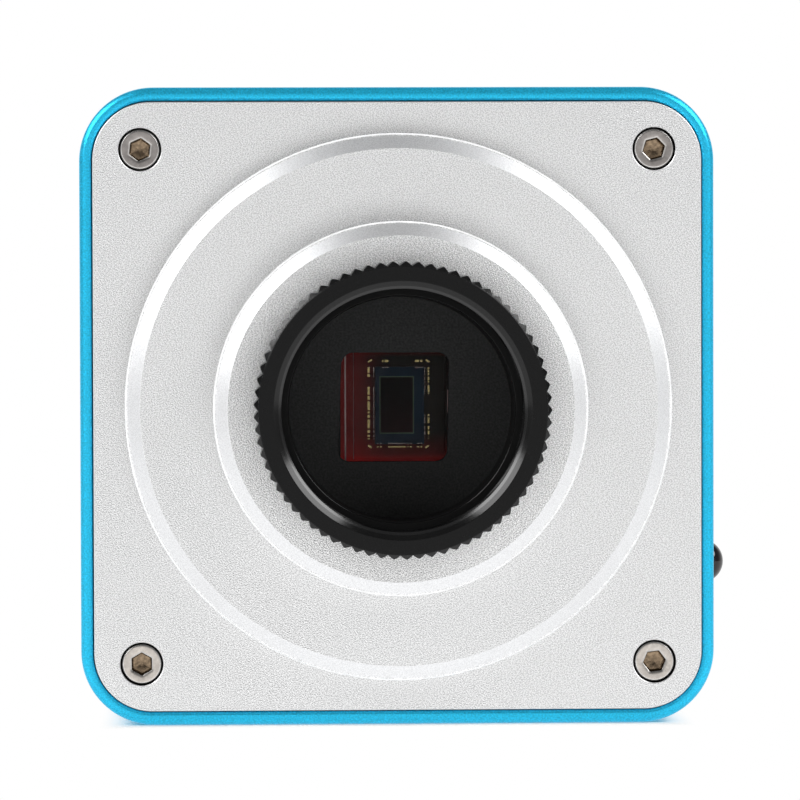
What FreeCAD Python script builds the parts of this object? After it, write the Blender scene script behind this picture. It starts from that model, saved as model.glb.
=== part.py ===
"""A square microscope camera: an extruded housing, two end plates, a lens ring, the sensor and its boards.

Millimetres. The origin is the centre of the lens ring's front face, where a lens is seated. Depth runs
along +Y into the camera, +X is to the right for someone facing the lens, and +Z is up.
"""
import FreeCAD, Part
import math
import os
import re
import Sketcher
from FreeCAD import Placement, Rotation, Vector

TOUCH = 1e-4
WHOLE_TURN = 360
HALF_TURN = 180
QUARTER_TURN = 90

# Driving sizes. Each goes into the sheet under its own name.
SIZES = {
    # Housing: an extruded tube with a rim round each plate and a screw column in each corner
    "body_width": 66.2,
    "body_height": 66.5,
    "housing_depth": 42.0,
    "body_corner": 8.1,
    "wall": 2.2,
    "rim_side": 1.28,
    "rim_top": 1.43,
    "rim_chamfer": 0.28,
    "cavity_corner": 1.0,
    "screw_inset_side": 6.325,
    "screw_inset_top": 6.475,
    "column_reach": 3.4,
    # End plates
    "plate_gap": 0.12,
    "plate_edge": 0.2,
    "corner_step": 2.2,
    "plate_thickness": 3.8,
    "plate_proud": 0.5,
    "rear_thickness": 3.8,
    "rear_proud": 0.3,
    # Turned steps on the front plate, each with a wide polished chamfer
    "upper_radius": 19.27,
    "upper_chamfer": 1.48,
    "lower_radius": 28.4,
    "lower_chamfer": 1.6,
    "lower_height": 4.3,
    # Lens ring
    "ring_thickness": 5.0,
    "ring_collar": 0.4,
    "collar_drop": 0.07,
    "knurl_radius": 15.12,
    "knurl_depth": 0.45,
    "knurl_groove": 1.0,
    "knurl_count": 73,
    "lens_radius": 12.35,
    "lens_depth": 4.2,
    "lens_chamfer": 0.8,
    "lens_chamfer_depth": 0.45,
    "tail_radius": 12.65,
    "tail_length": 4.0,
    "tail_wall": 1.05,
    "tail_chamfer": 0.4,
    "tail_clearance": 0.05,
    # Filter and its holder
    "holder_height": 6.4,
    "holder_radius": 14.5,
    "holder_clearance": 0.1,
    "skirt_wall": 1.6,
    "skirt_clearance": 0.2,
    "window_width": 11.2,
    "window_height": 11.45,
    "window_corner": 1.2,
    "window_shift": 0.35,
    "window_lip": 0.7,
    "filter_size": 12.8,
    "filter_thickness": 1.1,
    "filter_clearance": 0.1,
    # Image sensor, its face one flange distance behind the lens seat
    "flange_focal": 17.526,
    "die_width": 5.1,
    "die_height": 8.1,
    "die_thickness": 0.474,
    "die_shift": 0.27,
    "package_size": 14.0,
    "package_floor": 1.4,
    "package_rim": 0.6,
    "cavity_width": 11.4,
    "cavity_height": 11.6,
    "cover_size": 13.2,
    "cover_thickness": 0.5,
    "gasket_wall": 0.6,
    # Boards
    "board_thickness": 1.6,
    "board_clearance": 0.9,
    "column_clearance": 0.3,
    "sensor_board_size": 36.0,
    "land_height": 0.8,
    "land_width": 3.0,
    "pillar_height": 8.2,
    "pillar_size": 4.5,
    "pillar_inset_side": 6.0,
    "pillar_inset_top": 3.6,
    # Plate screws
    "screw_radius": 1.25,
    "screw_length": 8.0,
    "head_radius": 2.1,
    "head_height": 2.4,
    "head_sink": 0.15,
    "head_clearance": 0.15,
    "hex_size": 2.05,
    "hex_depth": 1.3,
    "hole_clearance": 0.15,
    "thread_clearance": 0.02,
    "thread_spare": 1.0,
    # Flat cable between the boards
    "connector_width": 16.0,
    "connector_depth": 3.6,
    "connector_height": 2.4,
    "connector_up": 10.0,
    "ribbon_width": 12.0,
    "ribbon_thickness": 0.3,
    "ribbon_insert": 1.6,
    "ribbon_clearance": 0.15,
    # Parts on the lens side of the main board
    "processor_size": 15.0,
    "processor_height": 1.4,
    "processor_left": 4.0,
    "memory_width": 9.0,
    "memory_tall": 12.0,
    "memory_height": 1.1,
    "memory_right": 14.0,
    "coil_size": 7.0,
    "coil_height": 3.2,
    "coil_corner": 1.2,
    "coil_left": 20.0,
    "chip_drop": 6.0,
    # Sockets in the rear plate
    "socket_wall": 0.4,
    "socket_floor": 1.0,
    "socket_clearance": 0.2,
    "socket_drop": 5.0,
    "tongue_setback": 1.0,
    "video_width": 15.0,
    "video_height": 5.6,
    "video_cut": 1.5,
    "video_inset": 17.7,
    "video_tongue_width": 11.8,
    "video_tongue_thickness": 0.9,
    "usb_width": 13.2,
    "usb_height": 5.8,
    "usb_right": 5.0,
    "usb_tongue_width": 11.0,
    "usb_tongue_thickness": 1.9,
    "usb_tongue_up": 1.1,
    "jack_size": 9.0,
    "jack_nose": 4.2,
    "jack_bore": 3.2,
    "jack_bore_depth": 9.0,
    "jack_pin": 1.05,
    "jack_inset": 11.7,
    "card_width": 14.5,
    "card_height": 3.2,
    "card_slot_width": 11.4,
    "card_slot_height": 1.1,
    "card_slot_depth": 7.0,
    "card_left": 8.0,
    "card_drop": 16.0,
    "card_margin": 0.4,
    # Status light
    "led_width": 1.6,
    "led_height": 0.8,
    "led_rise": 0.7,
    "pipe_radius": 1.45,
    "pipe_clearance": 0.05,
    "pipe_flange": 2.2,
    "pipe_flange_thickness": 0.8,
    "pipe_gap": 0.3,
    "pipe_proud": 0.3,
    "light_right": 8.0,
    "light_drop": 16.0,
    # Keys
    "key_inset": 11.7,
    "keys_up": 11.0,
    "key_radius": 2.5,
    "key_clearance": 0.08,
    "key_flange": 3.2,
    "key_flange_thickness": 0.8,
    "key_proud": 1.2,
    "key_edge": 0.35,
    "switch_size": 6.0,
    "switch_height": 3.6,
    "plunger_size": 3.4,
    "plunger_clearance": 0.06,
    "plunger_reach": 2.4,
    "plunger_room": 0.6,
    # Remote control receiver
    "dome_setback": 20.0,
    "dome_margin": 2.175,
    "dome_radius": 2.5,
    "dome_proud": 3.0,
    "dome_clearance": 0.1,
    "receiver_size": 7.0,
    "receiver_thickness": 3.2,
    "leg_size": 0.5,
    "leg_pitch": 2.54,
}
KEYS = ("key_power", "key_menu", "key_down", "key_up", "key_snap")

doc = FreeCAD.newDocument("microscope_camera")
sheet = doc.addObject("Spreadsheet::Sheet", "sizes")
for row, (name, number) in enumerate(SIZES.items(), 1):
    sheet.set(f"A{row}", name)
    sheet.set(f"B{row}", str(number))
    sheet.setAlias(f"B{row}", name)
doc.recompute()
nodes = []

# Depths behind the lens seat, worked out from the sensor forwards and backwards
DIE_BACK = "(flange_focal + die_thickness)"
BOARD_FACE = f"({DIE_BACK} + package_floor)"
BOARD_BACK = f"({BOARD_FACE} + board_thickness)"
PLATE_BACK = f"({BOARD_FACE} - land_height)"
PLATE_FACE = f"({PLATE_BACK} - plate_thickness)"
STEP_FACE = f"({PLATE_FACE} - lower_height)"
RIM_FRONT = f"({PLATE_FACE} + plate_proud)"
HOUSING_BACK = f"({RIM_FRONT} + housing_depth)"
REAR_FACE = f"({HOUSING_BACK} + rear_proud)"
REAR_INNER = f"({REAR_FACE} - rear_thickness)"
MAIN_BACK = f"({REAR_INNER} - pillar_height)"
MAIN_FACE = f"({MAIN_BACK} - board_thickness)"
HOLDER_FACE = f"({BOARD_FACE} - holder_height)"
FILTER_FACE = f"({HOLDER_FACE} + window_lip)"
FILTER_BACK = f"({FILTER_FACE} + filter_thickness)"
COVER_BACK = "(flange_focal - package_rim)"
COVER_FACE = f"({COVER_BACK} - cover_thickness)"
HEAD_SEAT = f"({PLATE_FACE} + head_sink + head_height)"
SWITCH_TOP = f"({MAIN_BACK} + switch_height)"
KEY_FOOT = f"({REAR_INNER} - key_flange_thickness)"
PLUNGER_FOOT = f"({SWITCH_TOP} - plunger_reach)"
SOCKET_FLOOR = f"({MAIN_BACK} + socket_floor)"
TONGUE_END = f"({REAR_FACE} - tongue_setback)"

# Widths and heights that several pieces share
PLATE_WIDTH = "(body_width - 2 * rim_side - 2 * plate_gap)"
PLATE_HEIGHT = "(body_height - 2 * rim_top - 2 * plate_gap)"
PLATE_CORNER = "(body_corner - corner_step)"
SCREW_X = "(body_width - 2 * screw_inset_side)"
SCREW_Z = "(body_height - 2 * screw_inset_top)"
COLUMN_X = f"({SCREW_X} - 2 * column_reach)"
COLUMN_Z = f"({SCREW_Z} - 2 * column_reach)"
MAIN_WIDTH = "(body_width - 2 * wall - 2 * board_clearance)"
MAIN_HEIGHT = f"({COLUMN_Z} - 2 * column_clearance)"
PILLAR_X = f"({MAIN_WIDTH} - 2 * pillar_inset_side)"
PILLAR_Z = f"({MAIN_HEIGHT} - 2 * pillar_inset_top)"
SKIRT_INNER = "(package_size + 2 * skirt_clearance)"
VIDEO_X = f"(video_inset - {PLATE_WIDTH} / 2)"
JACK_X = f"({PLATE_WIDTH} / 2 - jack_inset)"
DOME_Z = f"(dome_margin + receiver_size / 2 - {COLUMN_Z} / 2)"


def with_sheet(formula):
    """The formula with every size's name pointed at its cell."""
    return re.sub(
        r"[a-z][a-z_]*",
        lambda word: f"sizes.{word.group()}" if word.group() in SIZES else word.group(),
        formula,
    )


def bind(item, place, formula):
    """Tie a property or constraint to a formula of sizes."""
    item.setExpression(place, with_sheet(formula))


def value(formula):
    """The number that a formula of sizes gives now."""
    return float(sheet.evalExpression(with_sheet(formula)))


def place_at(item, x="0", y="0", z="0"):
    """Bind the item's position."""
    bind(item, "Placement.Base.x", x)
    bind(item, "Placement.Base.y", y)
    bind(item, "Placement.Base.z", z)


def node(item):
    """Note the item as a sub-part that gets a file of its own."""
    nodes.append(item)
    return item


def new_body(name):
    return doc.addObject("PartDesign::Body", name)


def attach(body, plane, across, up, out):
    """A sketch on one of the body's own origin planes, moved by formulas."""
    support = [f for f in body.Origin.OriginFeatures if f.Role == plane]
    sketch = body.newObject("Sketcher::SketchObject", f"{body.Name}_sketch")
    sketch.AttachmentSupport = (support[0], [""])
    sketch.MapMode = "FlatFace"
    bind(sketch, "AttachmentOffset.Base.x", across)
    bind(sketch, "AttachmentOffset.Base.y", up)
    bind(sketch, "AttachmentOffset.Base.z", out)
    return sketch


def section(body, depth, x="0", z="0"):
    """A sketch square to the optical axis, at a depth and centred on x and z."""
    return attach(body, "XZ_Plane", x, z, f"-({depth})")


def constrain(sketch, *items):
    return sketch.addConstraint(Sketcher.Constraint(*items))


def measure(sketch, formula, *items):
    """A sized constraint, bound to its formula."""
    number = constrain(sketch, *items, value(formula))
    bind(sketch, f"Constraints[{number}]", formula)


def hold(sketch, line, kind, formula, axis):
    """Hold a line's start at a signed distance from an axis."""
    distance = value(formula)
    if abs(distance) < TOUCH:
        constrain(sketch, "PointOnObject", line, 1, axis)
    elif distance > 0:
        measure(sketch, formula, kind, -1, 1, line, 1)
    else:
        measure(sketch, f"-({formula})", kind, line, 1, -1, 1)


def outline(sketch, points):
    """A closed outline of straight lines, with each corner held by its two formulas."""
    corners = [Vector(value(across), value(up), 0) for across, up in points]
    count = len(corners)
    first = sketch.GeometryCount
    for i in range(count):
        sketch.addGeometry(Part.LineSegment(corners[i], corners[(i + 1) % count]), False)
    for i in range(count):
        constrain(sketch, "Coincident", first + i, 2, first + (i + 1) % count, 1)
    for i, (across, up) in enumerate(points):
        hold(sketch, first + i, "DistanceX", across, -2)
        hold(sketch, first + i, "DistanceY", up, -1)
    return sketch


def square_corners(width, height):
    """The corners of a rectangle centred on the sketch."""
    right = f"({width}) / 2"
    top = f"({height}) / 2"
    left = f"-({width}) / 2"
    bottom = f"-({height}) / 2"
    return [(left, bottom), (right, bottom), (right, top), (left, top)]


def rectangle(sketch, width, height):
    """A sharp rectangle centred on the sketch."""
    return outline(sketch, square_corners(width, height))


def rounded(sketch, width, height, corner):
    """A rectangle with round corners, centred on the sketch."""
    half_w = value(width) / 2
    half_h = value(height) / 2
    radius = value(corner)
    in_w = half_w - radius
    in_h = half_h - radius
    quarter = math.pi / 2
    sides = [
        ((-in_w, -half_h), (in_w, -half_h)),
        ((half_w, -in_h), (half_w, in_h)),
        ((in_w, half_h), (-in_w, half_h)),
        ((-half_w, in_h), (-half_w, -in_h)),
    ]
    centres = [(in_w, -in_h), (in_w, in_h), (-in_w, in_h), (-in_w, -in_h)]
    for start, end in sides:
        sketch.addGeometry(Part.LineSegment(Vector(*start, 0), Vector(*end, 0)), False)
    for i, centre in enumerate(centres):
        circle = Part.Circle(Vector(*centre, 0), Vector(0, 0, 1), radius)
        sketch.addGeometry(Part.ArcOfCircle(circle, (i - 1) * quarter, i * quarter), False)
    for i in range(4):
        constrain(sketch, "Tangent", i, 2, i + 4, 1)
        constrain(sketch, "Tangent", i + 4, 2, (i + 1) % 4, 1)
        constrain(sketch, "Horizontal" if i % 2 == 0 else "Vertical", i)
    for i in range(5, 8):
        constrain(sketch, "Equal", 4, i)
    constrain(sketch, "Symmetric", 4, 3, 6, 3, -1, 1)
    measure(sketch, width, "DistanceX", 3, 1, 1, 1)
    measure(sketch, height, "DistanceY", 0, 1, 2, 1)
    measure(sketch, corner, "Radius", 4)
    return sketch


def circle(sketch, radius):
    """A circle on the sketch's centre."""
    ring = Part.Circle(Vector(0, 0, 0), Vector(0, 0, 1), value(radius))
    number = sketch.addGeometry(ring, False)
    constrain(sketch, "Coincident", number, 3, -1, 1)
    measure(sketch, radius, "Radius", number)
    return sketch


def four_circles(sketch, spacing_x, spacing_z, radius):
    """Four equal circles on the corners of a rectangle centred on the sketch."""
    half_x = value(spacing_x) / 2
    half_z = value(spacing_z) / 2
    for across, up in ((half_x, half_z), (-half_x, half_z), (-half_x, -half_z), (half_x, -half_z)):
        sketch.addGeometry(Part.Circle(Vector(across, up, 0), Vector(0, 0, 1), value(radius)), False)
    for i in range(1, 4):
        constrain(sketch, "Equal", 0, i)
    constrain(sketch, "Symmetric", 0, 3, 1, 3, -2)
    constrain(sketch, "Symmetric", 0, 3, 2, 3, -1, 1)
    constrain(sketch, "Symmetric", 0, 3, 3, 3, -1)
    measure(sketch, f"({spacing_x}) / 2", "DistanceX", -1, 1, 0, 3)
    measure(sketch, f"({spacing_z}) / 2", "DistanceY", -1, 1, 0, 3)
    measure(sketch, radius, "Radius", 0)
    return sketch


def hexagon(sketch, across_flats):
    """A regular hexagon centred on the sketch, with two flats level."""
    radius = f"({across_flats}) / sqrt(3)"
    ring = Part.Circle(Vector(0, 0, 0), Vector(0, 0, 1), value(radius))
    corners = [ring.value(i * math.pi / 3) for i in range(6)]
    for i in range(6):
        sketch.addGeometry(Part.LineSegment(corners[i], corners[(i + 1) % 6]), False)
    guide = sketch.addGeometry(ring, True)
    constrain(sketch, "Coincident", guide, 3, -1, 1)
    for i in range(6):
        constrain(sketch, "Coincident", i, 2, (i + 1) % 6, 1)
        constrain(sketch, "PointOnObject", i, 1, guide)
    for i in range(1, 6):
        constrain(sketch, "Equal", 0, i)
    constrain(sketch, "PointOnObject", 0, 1, -1)
    measure(sketch, radius, "Radius", guide)
    return sketch


def pad(body, sketch, length):
    """Raise a section towards the camera's back."""
    feature = body.newObject("PartDesign::Pad", f"{body.Name}_pad")
    feature.Profile = sketch
    feature.Reversed = True
    bind(feature, "Length", length)
    return feature


def pocket(body, sketch, depth=None, forwards=False):
    """Cut a section towards the camera's back, or forwards, right through where no depth is given."""
    feature = body.newObject("PartDesign::Pocket", f"{body.Name}_pocket")
    feature.Profile = sketch
    feature.Reversed = forwards
    if depth is None:
        feature.Type = "ThroughAll"
    else:
        bind(feature, "Length", depth)
    return feature


def turn(body, points):
    """Revolve an outline of radius and depth pairs about the body's own Y axis."""
    sketch = outline(attach(body, "XY_Plane", "0", "0", "0"), points)
    feature = body.newObject("PartDesign::Revolution", f"{body.Name}_turned")
    feature.Profile = sketch
    feature.ReferenceAxis = (sketch, ["V_Axis"])
    feature.Angle = WHOLE_TURN
    return feature


def chamfer(body, base, depths, size):
    """Chamfer every edge of the base feature that lies at one of the depths."""
    doc.recompute()
    levels = [value(depth) for depth in depths]
    names = []
    for number, edge in enumerate(base.Shape.Edges, 1):
        box = edge.BoundBox
        if any(abs(box.YMin - y) < TOUCH and abs(box.YMax - y) < TOUCH for y in levels):
            names.append(f"Edge{number}")
    feature = body.newObject("PartDesign::Chamfer", f"{body.Name}_chamfer")
    feature.Base = (base, names)
    bind(feature, "Size", size)
    return feature


def block(name, x, depth, z, width, length, height):
    """A plain block: centred on x and z, from a depth backwards."""
    item = doc.addObject("Part::Box", name)
    bind(item, "Length", width)
    bind(item, "Width", length)
    bind(item, "Height", height)
    place_at(item, f"{x} - ({width}) / 2", depth, f"{z} - ({height}) / 2")
    return item


def four_copies(name, master, spacing_x, spacing_z, depth, facing_back=False):
    """One node of four copies of a master, on the corners of a rectangle."""
    copies = []
    for i, (across, up) in enumerate(((1, 1), (-1, 1), (-1, -1), (1, -1))):
        copy = doc.addObject("App::Link", f"{name}_{i}")
        copy.LinkedObject = master
        if facing_back:
            copy.Placement = Placement(Vector(), Rotation(Vector(0, 0, 1), HALF_TURN))
        place_at(copy, f"{across} * {spacing_x} / 2", depth, f"{up} * {spacing_z} / 2")
        copies.append(copy)
    group = doc.addObject("Part::Compound", name)
    group.Links = copies
    return node(group)


def make_housing():
    """Extruded tube: a cross-shaped cavity between screw columns, milled at each end for a plate."""
    body = node(new_body("housing_shell"))
    inner_width = "body_width - 2 * wall"
    inner_height = "body_height - 2 * wall"
    tube = rounded(section(body, RIM_FRONT), "body_width", "body_height", "body_corner")
    pad(body, tube, "housing_depth")
    pocket(body, rounded(section(body, RIM_FRONT), inner_width, COLUMN_Z, "cavity_corner"))
    pocket(body, rounded(section(body, RIM_FRONT), COLUMN_X, inner_height, "cavity_corner"))
    seat = (
        f"{PLATE_WIDTH} + 2 * plate_gap",
        f"{PLATE_HEIGHT} + 2 * plate_gap",
        f"{PLATE_CORNER} + plate_gap",
    )
    pocket(body, rounded(section(body, RIM_FRONT), *seat), "plate_thickness - plate_proud")
    last = pocket(body, rounded(section(body, HOUSING_BACK), *seat), "rear_thickness - rear_proud", True)
    chamfer(body, last, [RIM_FRONT, HOUSING_BACK], "rim_chamfer")
    thread = "screw_radius + thread_clearance"
    front_reach = f"{HEAD_SEAT} + screw_length - {PLATE_BACK} + thread_spare"
    rear_reach = f"{REAR_INNER} - ({REAR_FACE} - head_sink - head_height - screw_length) + thread_spare"
    pocket(body, four_circles(section(body, PLATE_BACK), SCREW_X, SCREW_Z, thread), front_reach)
    pocket(body, four_circles(section(body, REAR_INNER), SCREW_X, SCREW_Z, thread), rear_reach, True)
    side = attach(body, "YZ_Plane", f"{PLATE_FACE} + dome_setback", DOME_Z, "0")
    pocket(body, circle(side, "dome_radius + dome_clearance"), None, True)


def cut_screw_holes(body, face, forwards):
    """Counterbores from the plate's outer face and clearance holes through it."""
    sink = "head_sink + head_height"
    head = four_circles(section(body, face), SCREW_X, SCREW_Z, "head_radius + head_clearance")
    pocket(body, head, sink, forwards)
    shank = four_circles(section(body, face), SCREW_X, SCREW_Z, "screw_radius + hole_clearance")
    pocket(body, shank, None, forwards)


def make_front_plate():
    """Slab with two turned steps, bored for the ring's tail and counterbored behind for the filter."""
    body = node(new_body("front_plate"))
    outer = rounded(section(body, PLATE_FACE), PLATE_WIDTH, PLATE_HEIGHT, PLATE_CORNER)
    slab = pad(body, outer, "plate_thickness")
    chamfer(body, slab, [PLATE_FACE], "plate_edge")
    turn(body, [
        ("0", "ring_thickness"),
        ("upper_radius - upper_chamfer", "ring_thickness"),
        ("upper_radius", "ring_thickness + upper_chamfer"),
        ("upper_radius", STEP_FACE),
        ("lower_radius - lower_chamfer", STEP_FACE),
        ("lower_radius", f"{STEP_FACE} + lower_chamfer"),
        ("lower_radius", PLATE_BACK),
        ("0", PLATE_BACK),
    ])
    pocket(body, circle(section(body, "ring_thickness"), "tail_radius + tail_clearance"))
    seat = circle(section(body, PLATE_BACK), "holder_radius + holder_clearance")
    pocket(body, seat, f"{PLATE_BACK} - {HOLDER_FACE}", True)
    cut_screw_holes(body, PLATE_FACE, False)
    land = rectangle(section(body, PLATE_BACK), "sensor_board_size", "sensor_board_size")
    inside = "sensor_board_size - 2 * land_width"
    outline(land, square_corners(inside, inside))
    pad(body, land, "land_height")


def make_mount_ring():
    """Knurled ring: lens bore in front, a narrower throat behind it, and a tail into the plate."""
    body = node(new_body("mount_ring"))
    throat = "tail_radius - tail_wall"
    tail_end = "ring_thickness + tail_length"
    root = "knurl_radius - knurl_depth"
    turn(body, [
        (throat, "lens_depth"),
        ("lens_radius", "lens_depth"),
        ("lens_radius", "lens_chamfer_depth"),
        ("lens_radius + lens_chamfer", "0"),
        (f"{root} - collar_drop", "0"),
        (f"{root} - collar_drop", "ring_collar"),
        ("knurl_radius", "ring_collar"),
        ("knurl_radius", "ring_thickness"),
        ("tail_radius", "ring_thickness"),
        ("tail_radius", f"{tail_end} - tail_chamfer"),
        ("tail_radius - tail_chamfer", tail_end),
        (throat, tail_end),
    ])
    overshoot = "knurl_radius + knurl_depth"
    groove = outline(section(body, "ring_collar"), [
        ("0", root),
        ("knurl_groove", overshoot),
        ("-knurl_groove", overshoot),
    ])
    cut = pocket(body, groove, "ring_thickness - ring_collar")
    pattern = body.newObject("PartDesign::PolarPattern", "mount_ring_knurl")
    pattern.Originals = [cut]
    pattern.Axis = (groove, ["N_Axis"])
    pattern.Angle = WHOLE_TURN
    bind(pattern, "Occurrences", "knurl_count")
    body.Tip = pattern


def make_filter_holder():
    """Matt black disc with a window, a filter seat behind it and a skirt down to the sensor board."""
    body = node(new_body("filter_holder"))
    seat = "filter_size + 2 * filter_clearance"
    pad(body, circle(section(body, HOLDER_FACE), "holder_radius"), f"{FILTER_BACK} - {HOLDER_FACE}")
    outer = f"{SKIRT_INNER} + 2 * skirt_wall"
    skirt = rectangle(section(body, FILTER_BACK), outer, outer)
    outline(skirt, square_corners(SKIRT_INNER, SKIRT_INNER))
    pad(body, skirt, f"{BOARD_FACE} - {FILTER_BACK}")
    pocket(body, rectangle(section(body, FILTER_BACK), seat, seat), "filter_thickness", True)
    window = section(body, HOLDER_FACE, "-window_shift")
    pocket(body, rounded(window, "window_width", "window_height", "window_corner"))


def make_filter_and_sensor():
    """Filter, gasket, sensor lid, carrier and die, stacked down to the sensor board."""
    node(block("filter_glass", "0", FILTER_FACE, "0", "filter_size", "filter_thickness", "filter_size"))

    gasket = node(new_body("dust_gasket"))
    inside = "cover_size - 2 * gasket_wall"
    frame = rectangle(section(gasket, FILTER_BACK), "cover_size", "cover_size")
    outline(frame, square_corners(inside, inside))
    pad(gasket, frame, f"{COVER_FACE} - {FILTER_BACK}")

    node(block("sensor_cover_glass", "0", COVER_FACE, "0", "cover_size", "cover_thickness", "cover_size"))

    package = node(new_body("sensor_package"))
    carrier = rectangle(section(package, COVER_BACK), "package_size", "package_size")
    pad(package, carrier, f"{BOARD_FACE} - {COVER_BACK}")
    well = rectangle(section(package, COVER_BACK), "cavity_width", "cavity_height")
    pocket(package, well, f"{DIE_BACK} - {COVER_BACK}")

    node(block("sensor_die", "die_shift", "flange_focal", "0", "die_width", "die_thickness", "die_height"))


def make_boards():
    """The sensor board against the front plate, and the main board that fills the housing."""
    size = "sensor_board_size"
    node(block("sensor_board", "0", BOARD_FACE, "0", size, "board_thickness", size))
    node(block("main_board", "0", MAIN_FACE, "0", MAIN_WIDTH, "board_thickness", MAIN_HEIGHT))


def make_ribbon():
    """Flat cable between a connector on each board."""
    slot_width = "ribbon_width + 2 * ribbon_clearance"
    slot_height = "ribbon_thickness + 2 * ribbon_clearance"
    slot_depth = "ribbon_insert + ribbon_clearance"
    for name, depth, forwards in (
        ("sensor_connector", BOARD_BACK, True),
        ("board_connector", f"({MAIN_FACE} - connector_height)", False),
    ):
        body = node(new_body(name))
        base = rectangle(section(body, depth, "0", "connector_up"), "connector_width", "connector_depth")
        pad(body, base, "connector_height")
        mouth = f"{depth} + connector_height" if forwards else depth
        slot = rectangle(section(body, mouth, "0", "connector_up"), slot_width, slot_height)
        pocket(body, slot, slot_depth, forwards)
    start = f"({BOARD_BACK} + connector_height - ribbon_insert)"
    end = f"({MAIN_FACE} - connector_height + ribbon_insert)"
    cable = ("ribbon_cable", "0", start, "connector_up")
    node(block(*cable, "ribbon_width", f"{end} - {start}", "ribbon_thickness"))


def make_plate_screw():
    """Socket cap screw, its head's top at depth 0."""
    body = new_body("plate_screw")
    end = "head_height + screw_length"
    turn(body, [
        ("0", "0"),
        ("head_radius", "0"),
        ("head_radius", "head_height"),
        ("screw_radius", "head_height"),
        ("screw_radius", end),
        ("0", end),
    ])
    pocket(body, hexagon(section(body, "0"), "hex_size"), "hex_depth")
    four_copies("front_screws", body, SCREW_X, SCREW_Z, f"{PLATE_FACE} + head_sink")
    four_copies("rear_screws", body, SCREW_X, SCREW_Z, f"{REAR_FACE} - head_sink", True)


def make_pillars():
    """Hexagonal pillars that carry the main board on the rear plate."""
    body = new_body("board_pillar")
    pad(body, hexagon(section(body, "0"), "pillar_size"), "pillar_height")
    four_copies("board_pillars", body, PILLAR_X, PILLAR_Z, MAIN_BACK)


def make_chips():
    """Processor, memory and power coil on the lens side of the main board."""
    chip = ("processor_chip", "-processor_left", f"{MAIN_FACE} - processor_height", "-chip_drop")
    node(block(*chip, "processor_size", "processor_height", "processor_size"))
    chip = ("memory_chip", "memory_right", f"{MAIN_FACE} - memory_height", "-chip_drop")
    node(block(*chip, "memory_width", "memory_height", "memory_tall"))
    coil = node(new_body("power_coil"))
    foot = section(coil, f"{MAIN_FACE} - coil_height", "-coil_left", "-chip_drop")
    pad(coil, rounded(foot, "coil_size", "coil_size", "coil_corner"), "coil_height")


def video_outline(sketch, grow):
    """The video socket's outline: a rectangle with its two lower corners cut, grown by a distance."""
    side = f"(video_width / 2 + {grow})"
    top = f"(video_height / 2 + {grow})"
    cut = "video_cut"
    return outline(sketch, [
        (f"-{side} + {cut}", f"-{top}"),
        (f"{side} - {cut}", f"-{top}"),
        (side, f"-{top} + {cut}"),
        (side, top),
        (f"-{side}", top),
        (f"-{side}", f"-{top} + {cut}"),
    ])


def usb_outline(sketch, grow):
    """The USB socket's plain outline, grown by a distance."""
    return rectangle(sketch, f"usb_width + 2 * {grow}", f"usb_height + 2 * {grow}")


def make_sockets():
    """Power jack, video, USB and card sockets, from the main board to the rear plate."""
    depth = f"{REAR_FACE} - {MAIN_BACK}"
    for name, shape, x in (
        ("video_socket", video_outline, VIDEO_X),
        ("usb_socket", usb_outline, "usb_right"),
    ):
        body = node(new_body(name))
        pad(body, shape(section(body, MAIN_BACK, x, "-socket_drop"), "0"), depth)
        inside = shape(section(body, REAR_FACE, x, "-socket_drop"), "(0 - socket_wall)")
        pocket(body, inside, f"{REAR_FACE} - {SOCKET_FLOOR}", True)
    length = f"{TONGUE_END} - {SOCKET_FLOOR}"
    tongue = ("video_tongue", VIDEO_X, SOCKET_FLOOR, "-socket_drop")
    node(block(*tongue, "video_tongue_width", length, "video_tongue_thickness"))
    tongue = ("usb_tongue", "usb_right", SOCKET_FLOOR, "usb_tongue_up - socket_drop")
    node(block(*tongue, "usb_tongue_width", length, "usb_tongue_thickness"))

    jack = node(new_body("power_jack"))
    place = (JACK_X, "-socket_drop")
    base = rectangle(section(jack, MAIN_BACK, *place), "jack_size", "jack_size")
    pad(jack, base, f"{REAR_INNER} - {MAIN_BACK}")
    pad(jack, circle(section(jack, REAR_INNER, *place), "jack_nose"), "rear_thickness")
    pocket(jack, circle(section(jack, REAR_FACE, *place), "jack_bore"), "jack_bore_depth", True)
    pin = node(new_body("power_pin"))
    foot = f"({REAR_FACE} - jack_bore_depth)"
    pad(pin, circle(section(pin, foot, *place), "jack_pin"), f"{TONGUE_END} - {foot}")

    card = node(new_body("card_slot"))
    place = ("-card_left", "-card_drop")
    base = rectangle(section(card, MAIN_BACK, *place), "card_width", "card_height")
    pad(card, base, f"{REAR_INNER} - {MAIN_BACK}")
    slot = rectangle(section(card, REAR_INNER, *place), "card_slot_width", "card_slot_height")
    pocket(card, slot, "card_slot_depth", True)


def make_light():
    """A small light on the main board and the clear pipe that carries it through the rear plate."""
    led = ("status_led", "light_right", MAIN_BACK, "-light_drop")
    node(block(*led, "led_width", "led_rise", "led_height"))
    pipe = node(new_body("light_pipe"))
    foot = f"({MAIN_BACK} + led_rise + pipe_gap)"
    flange = f"({REAR_INNER} - pipe_flange_thickness)"
    end = f"({REAR_FACE} + pipe_proud)"
    turn(pipe, [
        ("0", foot),
        ("pipe_radius", foot),
        ("pipe_radius", flange),
        ("pipe_flange", flange),
        ("pipe_flange", REAR_INNER),
        ("pipe_radius", REAR_INNER),
        ("pipe_radius", REAR_FACE),
        ("pipe_radius - pipe_proud", end),
        ("0", end),
    ])
    place_at(pipe, "light_right", "0", "-light_drop")


def key_x(i):
    """Where a key stands in the row, which spans the plate between its insets."""
    share = i / (len(KEYS) - 1) - 1 / 2
    return f"({share} * ({PLATE_WIDTH} - 2 * key_inset))"


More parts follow.
